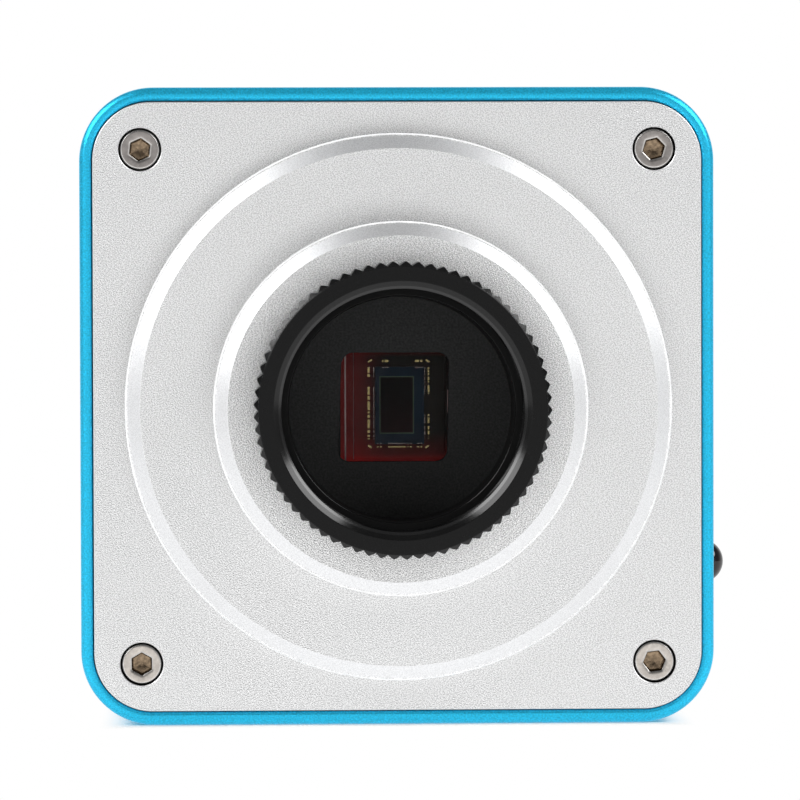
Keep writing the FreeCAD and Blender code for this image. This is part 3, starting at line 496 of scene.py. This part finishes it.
def make_front_plate():
    """Plate turned in two steps: one profile carried round the axis, ending at the plate's face, with a
    bright main chamfer, a narrow land and a hairline second chamfer at the top of each step. The hairlines
    carry a near-white painted highlight, and the step walls a darker grey that is partly painted shade at
    the steps' feet.
    """
    top_radius, low_radius = 19.27, 28.4
    # hairline: the painted highlight; wall: the turned finish, its darker grey partly painted shade.
    ring_side, hairline, wall = 3, 4, 5
    steps = [(MASK_SEAT, PLATE_BACK), (MASK_SEAT, MASK_FRONT), (RING_BORE, MASK_FRONT), (RING_BORE, 5.25),
             (12.95, TOP_STEP), (17.79, TOP_STEP), (19.0, 6.21), (19.1, 6.22), (top_radius, 6.6),
             (top_radius, LOW_STEP), (26.8, LOW_STEP), (28.12, 11.82), (28.22, 11.83), (low_radius, 12.23),
             (low_radius, PLATE_FACE)]
    picks = [ON_FACE, ON_FACE, ON_FACE, ON_CUT, ring_side, ON_CUT, ON_FACE, hairline, wall,
             ON_FACE, ON_CUT, ON_FACE, hairline, wall]
    turned_steps = turned(soften(steps, 0.03, 2), ROUND_SIDES, finish=along(picks, 2))
    slab = plate(PLATE_FACE, PLATE_BACK, [ring(low_radius, ROUND_SIDES)], [ring(MASK_SEAT, ROUND_SIDES)])
    piece("front_face", "camera", [*PLATE_FINISHES, COARSE, HAIRLINE_HIGHLIGHT, TURNED_SHADED],
          [turned_steps, *slab], ["front_plate"])


RING_FINISHES = [BLACK, POLISHED, EDGE, THROAT]
ON_RING, ON_POLISH, ON_EDGE, ON_THROAT = range(4)
TEETH, RING_FACE, TAIL_END, MOUTH_EDGE, THROAT_END = 73, 14.63, 12.25, 13.25, 11.6


def knurl():
    """The ring's outside: a turned envelope R(depth) cut by grooves. A groove falls from the tooth's tip to
    its root over half a pitch, with a bulge half-way down its flank, and the columns of each row follow the
    crease where it meets the envelope.
    """
    tip, cut, flat, bulge = 15.14, 0.41, 0.12, 0.02
    root, foot, tail = tip - cut, 14.6, 12.65
    envelope = np.array([(RING_FACE, 0.0), (RING_FACE + 0.06, 0.05), (root, 0.2), (tip, 0.6), (tip, 4.6),
                         (root, 4.95), (foot, TOP_STEP), (RING_BORE, TOP_STEP), (tail, 5.05), (tail, 8.6),
                         (TAIL_END, RING_BACK)])
    outer = envelope[:, 0]
    crease = flat + (1 - flat) * np.clip((tip - outer) / cut, 0, 1)
    flank = (crease + 1) / 2
    valley = np.minimum(outer, root)
    half_way = np.minimum(outer, tip - cut * (flank - flat) / (1 - flat) + bulge)
    share = np.stack([0 * crease, crease, flank, 0 * crease + 1, -flank, -crease], axis=-1)
    radius = np.tile(np.stack([outer, outer, half_way, valley, half_way, outer], axis=-1), TEETH)
    angle = (np.arange(TEETH)[:, None] + share[:, None] / 2) * TURN / TEETH
    angle = np.where(share[:, None] < 0, angle + TURN / TEETH, angle).reshape(len(envelope), -1)
    depth = np.broadcast_to(envelope[:, 1:], radius.shape)
    tooth_bevel = np.arange(len(envelope) - 1) == 2
    return skin(np.stack([radius * np.cos(angle), depth, radius * np.sin(angle)], axis=-1),
                np.where(tooth_bevel, ON_POLISH, ON_RING))


def lens_thread():
    """The ring's inside: a mouth, the thread and a throat. The thread's radius is the bore plus a depth
    times V(depth / pitch - angle / turn), a V-shaped wave that runs out at both ends.
    """
    bore, pitch, groove_depth, run_out = 12.35, 25.4 / 32, 0.42, 0.3
    thread_start, thread_end, thread_rows = 0.7, 4.15, 58
    corner, steps = 0.03, 3
    mouth = soften([(MOUTH_EDGE, 0.0), (13.15, 0.0), (12.66, 0.37), (bore, 0.62), (bore, 0.68)],
                   corner, steps)
    thread_depth = np.linspace(thread_start, thread_end, thread_rows)
    around = np.arange(ROUND_SIDES) / ROUND_SIDES
    phase = (thread_depth[:, None] / pitch - around) % 1
    groove = np.clip(1.25 * (1 - np.abs(2 * phase - 1)) - 0.12, 0, 1)
    to_end = np.minimum(thread_depth - thread_start, thread_end - thread_depth)[:, None]
    thread = bore + groove_depth * groove * np.clip(to_end / run_out, 0, 1)
    throat = soften([(bore, 4.2), (11.7, 4.2), (11.6, 4.3), (11.45, 8.9), (THROAT_END, RING_BACK)],
                    corner, steps)
    radii = np.concatenate([np.broadcast_to(mouth[:, :1], (len(mouth), ROUND_SIDES)), thread,
                            np.broadcast_to(throat[:, :1], (len(throat), ROUND_SIDES))])
    depths = np.concatenate([mouth[:, 1], thread_depth, throat[:, 1]])
    picks = np.concatenate([along([ON_RING, ON_POLISH, ON_EDGE, ON_RING], steps),
                            np.full(thread_rows + 1, ON_RING),
                            along([ON_THROAT, ON_POLISH, ON_THROAT, ON_THROAT], steps)])
    return lofted(radii[..., None] * ring(1, ROUND_SIDES), depths, picks)


def make_ring():
    """Knurled ring: its outside, its threaded inside and the two flat ends that join them."""
    front = level(0.0, ring(RING_FACE, 2 * TEETH), ring(MOUTH_EDGE, ROUND_SIDES))
    back = level(RING_BACK, ring(TAIL_END, 2 * TEETH), ring(THROAT_END, ROUND_SIDES))
    piece("knurled_ring", "lens_ring", RING_FINISHES,
          [knurl(), lens_thread(), front, back], ["mount_ring"], crease=24)


def window(grow=0.0):
    """The mask's opening: a rounded square that leans to the left towards its foot, its left side the most:
    x falls by (lean + left lean * way to the left) * way down.
    """
    width, height, corner, centre = 11.15, 11.3, 1.2, (-0.32, -0.02)
    top, right, lean, left_lean = 5.63, 5.26, 0.24, 0.18
    shape = rounded(width + 2 * grow, height + 2 * grow, corner + grow, centre, 8)
    down = np.clip((top - shape[:, 1]) / height, 0, 1)
    left = np.clip((right - shape[:, 0]) / width, 0, 1)
    return np.stack([shape[:, 0] - down * (lean + left_lean * left), shape[:, 1]], axis=-1)


def make_mask():
    """Black mask: a disc with a rounded window, and the square skirt behind it that holds the sensor."""
    face, rim, sides = 14.35, 14.5, 180
    pocket_front, disc_back = 13.7, 15.2
    disc = turned([(face, MASK_FRONT), (rim, 13.15), (rim, disc_back)], sides)
    front = level(MASK_FRONT, ring(face, sides), window(0.1))
    wall = lofted([window(0.1), window(0.03), window(), window()], [MASK_FRONT, 13.03, 13.1, pocket_front])
    seat = rounded(13.0, 13.0, 0.5, steps=8)
    pocket = [level(pocket_front, seat, window()), lofted([seat, seat], [pocket_front, disc_back])]
    outer, inner = rounded(17.6, 17.6, 1.0, steps=8), rounded(14.4, 14.4, 0.4, steps=8)
    back = level(disc_back, ring(rim, sides), outer)
    skirt = [lofted([outer, outer, inner, inner], [disc_back, PACKAGE_BACK, PACKAGE_BACK, disc_back]),
             level(disc_back, inner, seat)]
    piece("sensor_mask", "camera", [MASK], [disc, front, wall, *pocket, back, *skirt],
          ["filter_holder"])


def make_sensor():
    """Sensor package with its stepped cavity, a profile of rounded squares, the bright edges of its seals,
    and on the die the pixel field and its border.
    """
    shelf_depth, corner, steps = 17.5, 0.3, 4
    lid_middle, cavity_middle = (-0.07, 0), (0.2, 0)
    outer = rounded(14, 14, corner, steps=steps)
    brim = rounded(10.9, 12.3, corner, lid_middle, steps)
    lip = rounded(10.74, 12.2, corner, lid_middle, steps)
    shelf = rounded(9.6, 11.4, corner, cavity_middle, steps)
    floor = rounded(9.45, 11.3, corner, cavity_middle, steps)
    carrier = [lofted([outer, outer, brim, lip, lip, shelf, floor, floor],
                      [PACKAGE_BACK, PACKAGE_FRONT, PACKAGE_FRONT, 17.01, shelf_depth, shelf_depth, 17.56,
                       CAVITY_FLOOR]),
               level(CAVITY_FLOOR, floor), level(PACKAGE_BACK, outer)]
    piece("sensor_carrier", "camera", [PACKAGE], carrier, ["sensor_package"])

    edges = [*box(width=0.17, length=0.06, height=11.8, centre=(-5.44, 16.94, -0.1), corner=0.02),
             *box(width=0.13, length=0.06, height=2.4, centre=(5.3, 16.94, 0.45), corner=0.02),
             *box(width=0.06, length=0.04, height=11.2, centre=(-4.57, 17.49, 0), corner=0.012)]
    piece("seal_edges", "camera", [SEAL], edges)

    middle, width, height, field_corner, field_steps = (-0.04, 0.06), 3.4, 5.82, 0.03, 2
    on_die, field_face, border_face, border_growth = 17.527, 17.52, 17.521, 0.2
    field = rounded(width, height, field_corner, middle, field_steps)
    wide = rounded(width + border_growth, height + border_growth, field_corner, middle, field_steps)
    pixels = [lofted([field, field], [on_die, field_face]), level(field_face, field)]
    border = [lofted([wide, wide, field, field], [on_die, border_face, border_face, on_die])]
    piece("pixel_field", "camera", [ACTIVE], pixels)
    piece("pixel_border", "camera", [BORDER], border)


def make_pads():
    """Gold pads round the die: upright and lying strips, each a low block on the cavity's floor, and a finer
    strip beside it on the die. A leaning pad stands at each corner.
    """
    left = ((4.0, 3.36), (3.27, 2.93), (1.92, 1.06), (0.95, 0.52), (0.4, -0.57), (-0.65, -0.9),
            (-1.02, -1.37), (-1.49, -2.47), (-2.6, -2.94), (-3.1, -3.37), (-3.45, -3.63))
    right = ((3.94, 3.71), (3.63, 3.4), (3.31, 3.1), (2.95, 2.57), (2.51, 2.31), (2.06, 1.32), (1.27, 1.12),
             (-0.98, -1.21), (-1.29, -1.95), (-2.2, -2.61), (-2.67, -3.13), (-3.27, -3.36), (-3.5, -3.6))
    top = ((-1.5, -1.3), (-1.24, -0.78), (1.94, 2.45), (2.5, 2.78))
    foot = ((-2.07, -1.84), (-1.74, -1.54), (-0.9, 0.97), (1.12, 1.32), (1.4, 1.65), (2.15, 2.42),
            (2.51, 2.71))
    corners = ((-2.81, 4.67, 30), (3.23, 4.65, -30), (-2.83, -4.32, -30), (3.16, -4.34, 30))
    gap, shift_up, shift_left = 0.05, 0.05, 0.06
    thick, on_floor, edge = 0.02, CAVITY_FLOOR - 0.01, 0.02
    die_wide, die_thick, on_die, die_edge, die_pad = 0.1, 0.03, DIE_FACE - 0.015, 0.01, 1
    strips = []
    for column, wide, spans, inner in ((-2.96, 0.25, left, -2.44), (3.32, 0.19, right, 2.9)):
        for high, low in spans:
            up, length = (high + low) / 2 + shift_up, high - low - gap
            strips += box(wide, thick, length, (column, on_floor, up), corner=edge)
            strips += box(die_wide, die_thick, length, (inner, on_die, up), die_pad, die_edge)
    for row, tall, spans, inner in ((4.66, 0.24, top, 3.99), (-4.35, 0.135, foot, -3.97)):
        for start, end in spans:
            across, length = (start + end) / 2 - shift_left, end - start - gap
            strips += box(length, thick, tall, (across, on_floor, row), corner=edge)
            strips += box(length, die_thick, die_wide, (across, on_die, inner), die_pad, die_edge)
    for x, z, lean in corners:
        tilt = math.radians(lean)
        turn = [(math.cos(tilt), 0, -math.sin(tilt)), (0, 1, 0), (math.sin(tilt), 0, math.cos(tilt))]
        block = box(width=0.46, length=thick, height=0.18, centre=(0, 0, 0), corner=0.03)
        strips += [moved(part, turn, (x, on_floor, z)) for part in block]
    piece("bond_pads", "camera", [BOND, DIE_PAD], strips)


SCREW_FINISHES = [STEEL, HEX_FLOOR, HEX_WALL_SHADE, HEX_MOUTH, SCREW_BEVEL, LOWER_STEEL]


def socket_screw(centre, top, inwards, turn, face):
    """A cap screw: circles at the head and shank, hexagons in the socket and a cone at its bottom.

    A hexagon's radius is its flat's distance over the cosine to the flat's middle, and each row's radius is
    a share of the hexagon plus a circle's radius. Rows are (share, circle, depth).
    """
    steel, floor, wall, mouth, bevel = range(5)
    sides, flat = 48, 1.06
    angle = np.arange(sides) * TURN / sides
    to_flat = (angle - turn + np.pi / 6) % (np.pi / 3) - np.pi / 6
    hexagon = flat / np.cos(to_flat)
    rows = np.array([
        (0, 0, 1.5), (0.35, 0, 1.28), (0.84, 0, 1.24), (0.95, 0, 1.155), (0.98, 0, 1.05), (1, 0, 0.1),
        (1.13, 0, 0.02), (0.45, 0.92, 0), (0, 1.8, 0), (0, 1.9, 0), (0, 1.96, 0.03), (0, 2.05, 0.11),
        (0, 2.08, 0.22), (0, 2.08, 2.4), (0, 1.25, 2.4), (0, 1.25, 10.0), (0, 1.0, 10.4), (0, 0, 10.4)])
    # The socket's wall rows take the painted shade.
    picks = [floor, floor, floor, wall, wall, mouth, face, face, face, bevel, bevel, *[steel] * 6]
    radius = rows[:, :1] * hexagon + rows[:, 1:2]
    return lofted(centre + radius[..., None] * ring(1, sides), top + inwards * rows[:, 2], picks)


def make_screws():
    """Four cap screws in the front plate and four in the rear plate, each turned its own way."""
    steel, lower_pair = 0, 5
    turns, faces, rear_turn = np.radians([54.0, 44.0, 61.0, 37.0]), [steel, steel, lower_pair, lower_pair], 0.3
    front = [socket_screw(centre, PLATE_FACE + SCREW_SUNK, 1, turn, face)
             for centre, turn, face in zip(SCREWS, turns, faces)]
    rear = [socket_screw(centre, REAR_FACE - SCREW_SUNK, -1, turn + rear_turn, face)
            for centre, turn, face in zip(SCREWS, turns, faces)]
    piece("front_cap_screws", "camera", SCREW_FINISHES, front, ["front_screws"])
    piece("rear_cap_screws", "camera", SCREW_FINISHES, rear, ["rear_screws"])


def make_dome():
    """Dark dome: a quarter circle on a short neck, carried round an axis along X, with its block behind."""
    radius, neck_start, neck_end = 2.35, 30.2, 33.6
    arc = np.linspace(np.pi / 2, 0, 25)[1:]
    neck = [(0, neck_start), (radius, neck_start), (radius, neck_end)]
    cap = np.stack([radius * np.sin(arc), neck_end + radius * np.cos(arc)], axis=-1)
    lens = moved(turned(np.concatenate([neck, cap]), 96, (DOME_DEPTH, DOME_UP)), SIDEWAYS)
    block = box(width=3.2, length=7, height=7, centre=(29.1, DOME_DEPTH, DOME_UP), corner=0.3)
    piece("remote_dome", "camera", [DOME], [lens, *block], ["ir_receiver"])


# The back

def video_shape(grow=0.0):
    """The video socket's outline: a rectangle with its lower corners cut, grown by a distance, softened."""
    side, top, cut = 7.5 + grow, 2.8 + grow, 1.5
    line = [(0, top), (-side, top), (-side, cut - top), (cut - side, -top), (side - cut, -top),
            (side, cut - top), (side, top), (0, top)]
    return soften(line, 0.45, 5)[:-1] + (VIDEO_X, SOCKETS_UP)


def usb_shape(grow=0.0):
    """The USB socket's outline: a rectangle with small corners, grown by a distance."""
    return rounded(13.2 + 2 * grow, 5.8 + 2 * grow, 0.55 + grow, (USB_X, SOCKETS_UP), 5)


def card_shape(grow=0.0):
    """The card slot's outline, grown by a distance."""
    return rounded(11.4 + 2 * grow, 1.1 + 2 * grow, 0.15 + grow, (CARD_X, LOW_ROW_UP), 5)


def rear_openings(grow=0.0):
    """Outlines of the rear plate's openings, all grown by a distance."""
    key, jack, light = 2.58, 4.4, 1.5
    keys = [ring(key + grow, 72, (x, KEYS_UP)) for x in KEYS.values()]
    return [video_shape(0.2 + grow), usb_shape(0.2 + grow), ring(jack + grow, 96, (JACK_X, SOCKETS_UP)),
            card_shape(0.4 + grow), ring(light + grow, 48, (LIGHT_X, LOW_ROW_UP)), *keys]


def make_rear_plate():
    """Flat plate with a small chamfer round every opening for the sockets, the keys and the light."""
    cut = 0.15
    wide, close = rear_openings(cut), rear_openings()
    walls = [lofted([mouth, bore, bore], [REAR_FACE, REAR_FACE - cut, REAR_INNER], [ON_CUT, ON_FACE])
             for mouth, bore in zip(wide, close)]
    piece("rear_face", "camera", PLATE_FINISHES,
          [*plate(REAR_FACE, REAR_INNER, wide, close), *walls], ["rear_plate"])


def shell(shape, springs):
    """A drawn sheet shell with a rolled mouth: an outline shrunk along rows of (grow, depth), with leaf
    springs.
    """
    sheet, roll_start, roll_end = 0.4, 57.46, 57.56
    rows = [(0, MAIN_BACK), (0, roll_start), (-0.05, roll_end), (-0.2, REAR_FACE), (-0.35, roll_end),
            (-sheet, roll_start), (-sheet, SOCKET_FLOOR)]
    made = [lofted([shape(grow) for grow, _ in rows], [depth for _, depth in rows]),
            level(MAIN_BACK, shape()), level(SOCKET_FLOOR, shape(-sheet))]
    for x, up in springs:
        made += box(width=1.8, length=4.6, height=0.16, centre=(x, 54.6, SOCKETS_UP + up), corner=0.04)
    return made


def make_sockets():
    """Video and USB shells with their blades and gold contacts, and the card slot with its contacts."""
    video = [(VIDEO_X + x, up) for x in (-3.6, 3.6) for up in (2.3, -2.3)]
    usb = [(USB_X + x, up) for x in (-3.2, 3.2) for up in (2.4, -2.4)]
    piece("video_shell", "camera", [SOCKET], shell(video_shape, video), ["video_socket"])
    piece("usb_shell", "camera", [SOCKET], shell(usb_shape, usb), ["usb_socket"])

    middle, length = (SOCKET_FLOOR + TONGUE_END) / 2, TONGUE_END - SOCKET_FLOOR
    video_blade = box(width=11.8, length=length, height=0.9, corner=0.2,
                      centre=(VIDEO_X, middle, SOCKETS_UP))
    usb_blade = box(width=11.0, length=length, height=1.9, corner=0.3,
                    centre=(USB_X, middle, SOCKETS_UP + 1.1))
    piece("video_blade", "camera", [PLASTIC], video_blade, ["video_tongue"])
    piece("usb_blade", "camera", [PLASTIC], usb_blade, ["usb_tongue"])

    bevel, bevel_depth, card_floor = 0.12, 0.15, 46.8
    block, slot, mouth = rounded(14.5, 3.2, 0.4, (CARD_X, LOW_ROW_UP), 5), card_shape(), card_shape(bevel)
    card = [lofted([block, block], [MAIN_BACK, REAR_INNER]), level(MAIN_BACK, block),
            level(REAR_INNER, block, mouth),
            lofted([mouth, slot, slot], [REAR_INNER, REAR_INNER - bevel_depth, card_floor]),
            level(card_floor, slot)]
    piece("card_shell", "camera", [SOCKET], card, ["card_slot"])

    contacts, edge, card_pitch = [], 0.02, 1.1
    for count, up in ((10, 0.46), (9, -0.46)):
        for x in VIDEO_X + np.arange(count) - (count - 1) / 2:
            middle = (x, 52.1, SOCKETS_UP + up)
            contacts += box(width=0.45, length=8.6, height=0.06, centre=middle, corner=edge)
    for x in (-3.5, -1.0, 1.0, 3.5):
        middle = (USB_X + x, 52.0, SOCKETS_UP + 0.14)
        contacts += box(width=1.0, length=8.0, height=0.08, centre=middle, corner=edge)
    for x in CARD_X + card_pitch * (np.arange(8) - 3.5):
        middle = (x, 51.0, LOW_ROW_UP - 0.51)
        contacts += box(width=0.7, length=4.0, height=0.08, centre=middle, corner=edge)
    piece("socket_contacts", "camera", [GOLD], contacts)


def make_jack():
    """Power jack: a square block whose round nose fills the plate's hole, with a round-tipped pin inside."""
    centre = (JACK_X, SOCKETS_UP)
    nose, bore, floor, sides = 4.2, 3.2, 48.6, 96
    block = rounded(9, 9, 0.5, centre, 5)
    line = soften([(nose, REAR_INNER), (nose, 57.45), (4.05, REAR_FACE), (3.45, REAR_FACE), (bore, 57.3),
                   (bore, floor), (0, floor)], 0.06, 3)
    body = [lofted([block, block], [MAIN_BACK, REAR_INNER]), level(MAIN_BACK, block),
            level(REAR_INNER, block, ring(nose, sides, centre)), turned(line, sides, centre)]
    piece("jack_body", "camera", [PLASTIC], body, ["power_jack"])
    pin = 1.05
    tip = soften([(0, floor), (pin, floor), (pin, 56.1), (0.7, TONGUE_END), (0, TONGUE_END)], 0.3, 5)
    piece("jack_pin", "camera", [SOCKET], [turned(tip, 48, centre)], ["power_pin"])


def make_light_pipe():
    """Clear pipe with a flange and a low round end."""
    pipe, flange, start, end = 1.45, 2.2, 46.6, 57.9
    line = soften([(0, start), (pipe, start), (pipe, FLANGE_INNER), (flange, FLANGE_INNER),
                   (flange, REAR_INNER), (pipe, REAR_INNER), (pipe, REAR_FACE), (1.0, 57.85), (0, end)],
                  0.1, 3)
    light = turned(line, 64, (LIGHT_X, LOW_ROW_UP))
    piece("light_end", "camera", [CLEAR], [light], ["light_pipe"])


def make_keys():
    """Five round key caps: a flanged stem, and a head with a round edge and a face dished by a parabola. The
    power key has a ring and a middle point sunk into its dish.
    """
    flange, stem, top, dish_radius, dish_depth = 3.2, 2.5, 58.8, 1.9, 0.16
    sunk_radius, sunk_half_width, sunk_depth = 1.15, 0.18, 0.12
    base = [(0, FLANGE_INNER), (flange, FLANGE_INNER), (flange, REAR_INNER), (stem, REAR_INNER)]
    head = soften([(stem, REAR_INNER), (stem, 58.55), (2.25, top), (dish_radius, top)], 0.2, 5)
    radius = np.linspace(dish_radius, 0, 20)
    dish = top - dish_depth * (1 - (radius / dish_radius) ** 2)
    beside = np.clip(np.abs(radius - sunk_radius) / sunk_half_width, 0, 1) * (radius > 0)
    for name, x in KEYS.items():
        face = dish - sunk_depth + sunk_depth * beside if name == "power" else dish
        line = np.concatenate([base, head[1:], np.stack([radius, face], axis=-1)[1:]])
        cap = turned(line, 64, (x, KEYS_UP))
        piece(f"cap_{name}", f"{name}_key", [KEY], [cap], [f"key_{name}"])


make_housing()
make_front_plate()
make_ring()
make_mask()
make_sensor()
make_pads()
make_screws()
make_dome()
make_rear_plate()
make_sockets()
make_jack()
make_light_pipe()
make_keys()

# Finishes of the solids that stay

STAYS = {
    "filter_glass": FILTER, "dust_gasket": GASKET, "sensor_cover_glass": GLASS, "sensor_die": SENSOR,
    "sensor_board": BOARD, "main_board": BOARD, "sensor_connector": WHITE, "board_connector": WHITE,
    "ribbon_cable": RIBBON, "board_pillars": BRASS, "processor_chip": CHIP, "memory_chip": CHIP,
    "power_coil": CHIP, "status_led": WHITE, "key_switches": PLASTIC,
}
STAYS.update({f"plunger_{name}": WHITE for name in KEYS})
for name, finish in STAYS.items():
    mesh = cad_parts[name].data
    mesh.materials.clear()
    mesh.materials.append(finish)


# Floor, light and viewpoint

def floor_paper():
    """Pale paper, which the eye and polished faces see as white. For the eye the white share falls near the
    housing's foot, by the larger of the two distances from the foot's middle, each over its half size, so
    that the contact shadow shows there.
    """
    foot_middle, foot_half_width, foot_half_depth = 36.3, 27.0, 21.0
    shadow_reach, least_white = 1.16, 0.05
    paper = finish_of("floor_paper", (0.94, 0.94, 0.94), rough=0.9, Specular_IOR_Level=0.0)
    tree = paper.node_tree
    nodes, links = tree.nodes, tree.links
    place = nodes.new("ShaderNodeTexCoord")
    foot = nodes.new("ShaderNodeMapping")
    foot.vector_type = "TEXTURE"
    foot.inputs["Location"].default_value = (0.0, foot_middle * MM, 0.0)
    foot.inputs["Scale"].default_value = (foot_half_width * MM, foot_half_depth * MM, 1.0)
    size = nodes.new("ShaderNodeVectorMath")
    size.operation = "ABSOLUTE"
    sides = nodes.new("ShaderNodeSeparateXYZ")
    links.new(place.outputs["Object"], foot.inputs["Vector"])
    links.new(foot.outputs["Vector"], size.inputs[0])
    links.new(size.outputs["Vector"], sides.inputs["Vector"])
    away = joined(tree, "ShaderNodeMath", "MAXIMUM", sides.outputs["X"], sides.outputs["Y"])
    share = ranged(tree, away, 1.0, shadow_reach, least_white, 1.0, "SMOOTHSTEP")
    path = nodes.new("ShaderNodeLightPath")
    eye, glossy, clear = (path.outputs[f"Is {kind} Ray"] for kind in ("Camera", "Glossy", "Transmission"))
    seen = joined(tree, "ShaderNodeMath", "MULTIPLY", eye, share)
    mirrored = joined(tree, "ShaderNodeMath", "MAXIMUM", glossy, clear)
    shown = joined(tree, "ShaderNodeMath", "MAXIMUM", seen, mirrored)
    white = nodes.new("ShaderNodeEmission")
    both = nodes.new("ShaderNodeMixShader")
    links.new(shown, both.inputs["Fac"])
    links.new(nodes["Principled BSDF"].outputs["BSDF"], both.inputs[1])
    links.new(white.outputs["Emission"], both.inputs[2])
    links.new(both.outputs["Shader"], nodes["Material Output"].inputs["Surface"])
    return paper


def make_floor():
    """Flat floor under the housing, wide enough to fill the picture."""
    reach_across, reach_along = 0.45, 8.0    # metres
    signs = ((-1, -1), (1, -1), (1, 1), (-1, 1))
    corners = [(x * reach_across, y * reach_along, FLOOR * MM) for x, y in signs]
    made = bpy.data.meshes.new("floor")
    made.from_pydata(corners, [], [(0, 1, 2, 3)])
    made.materials.append(floor_paper())
    floor = bpy.data.objects.new("floor", made)
    bpy.context.scene.collection.objects.link(floor)


def fade(tree, value, stops):
    """A grey tone that follows a value between -1 and 1 through stops of (value, tone)."""
    ramp = tree.nodes.new("ShaderNodeValToRGB")
    tones = ramp.color_ramp.elements
    for place, tone in stops[1:-1]:
        tones.new((place + 1) / 2).color = (tone, tone, tone, 1)
    for element, (place, tone) in ((tones[0], stops[0]), (tones[len(tones) - 1], stops[-1])):
        element.position = (place + 1) / 2
        element.color = (tone, tone, tone, 1)
    tree.links.new(ranged(tree, value, -1.0, 1.0, 0.0, 1.0), ramp.inputs["Fac"])
    return ramp.outputs["Color"]


def make_lamps():
    """Two soft lamps from the upper left and right of the front, and a reflector card that lies on the floor
    in front of the housing and lights the plate from below.
    """
    strength, spread = 2.2, 36
    for side, place in (("left", (-0.76, -0.28, 0.59)), ("right", (0.74, -0.28, 0.61))):
        lamp = bpy.data.lights.new(f"softbox_{side}", "SUN")
        lamp.energy = strength
        lamp.angle = math.radians(spread)
        holder = bpy.data.objects.new(lamp.name, lamp)
        holder.rotation_euler = Vector(place).to_track_quat("Z", "Y").to_euler()
        bpy.context.scene.collection.objects.link(holder)
    card_watts, card_width, card_depth, card_ahead, card_lift = 0.262, 0.8, 0.45, -0.2115, 0.5
    lamp = bpy.data.lights.new("reflector_card", "AREA")
    lamp.shape = "RECTANGLE"
    lamp.size, lamp.size_y = card_width, card_depth
    lamp.energy = card_watts
    card = bpy.data.objects.new("reflector_card", lamp)
    card.location = (0.0, card_ahead, (FLOOR + card_lift) * MM)
    card.rotation_euler = (math.pi, 0, 0)
    card.visible_camera = False
    bpy.context.scene.collection.objects.link(card)


def make_room():
    """White room with a dim ceiling, dim ends to the left and right and a slightly dim wall behind the
    viewer: the product of three grey tones, one along each axis, lifted to white straight ahead. The eye
    itself sees the room as plain white.
    """
    world = bpy.data.worlds.new("room")
    world.use_nodes = True
    tree = world.node_tree
    nodes, links = tree.nodes, tree.links
    place = nodes.new("ShaderNodeTexCoord")
    parts = nodes.new("ShaderNodeSeparateXYZ")
    links.new(place.outputs["Generated"], parts.inputs["Vector"])
    across = fade(tree, parts.outputs["X"], [
        (-1, 0.16), (-0.93, 0.42), (-0.8, 0.88), (-0.5, 1.0), (0.15, 0.98), (0.4, 0.88), (0.8, 0.95),
        (0.93, 0.52), (1, 0.2)])
    along_axis = fade(tree, parts.outputs["Y"], [(-1, 0.87), (-0.88, 0.91), (-0.7, 0.97), (-0.3, 1.0)])
    upwards = fade(tree, parts.outputs["Z"], [
        (0, 1.0), (0.06, 0.95), (0.15, 0.74), (0.3, 0.42), (0.5, 0.18), (0.65, 0.1), (0.8, 0.12), (1, 0.22)])
    ahead = fade(tree, parts.outputs["Y"], [(0.4, 0.0), (0.8, 1.0)])
    level_tone = joined(tree, "ShaderNodeVectorMath", "MULTIPLY", across, along_axis)
    tone = joined(tree, "ShaderNodeVectorMath", "MULTIPLY", level_tone, upwards)
    room = nodes["Background"]
    links.new(joined(tree, "ShaderNodeVectorMath", "MAXIMUM", tone, ahead), room.inputs["Color"])
    plain = nodes.new("ShaderNodeBackground")
    plain.inputs["Color"].default_value = (1, 1, 1, 1)
    path = nodes.new("ShaderNodeLightPath")
    seen = nodes.new("ShaderNodeMixShader")
    links.new(path.outputs["Is Camera Ray"], seen.inputs["Fac"])
    links.new(room.outputs["Background"], seen.inputs[1])
    links.new(plain.outputs["Background"], seen.inputs[2])
    links.new(seen.outputs["Shader"], nodes["World Output"].inputs["Surface"])
    bpy.context.scene.world = world


def make_viewpoint():
    """The picture's viewpoint: half a metre in front, a little to the left and above."""
    place, turn, focal_length = (-19.652, -516.917, 16.542), (88.28962, 0.15157, -2.14363), 229.906
    lens = bpy.data.cameras.new("viewpoint")
    lens.lens = focal_length
    lens.clip_start = 0.01
    eye = bpy.data.objects.new("viewpoint", lens)
    eye.location = [v * MM for v in place]
    eye.rotation_euler = [math.radians(a) for a in turn]
    bpy.context.scene.collection.objects.link(eye)
    bpy.context.scene.camera = eye
    bpy.context.scene.view_settings.view_transform = "Standard"


make_floor()
make_lamps()
make_room()
make_viewpoint()
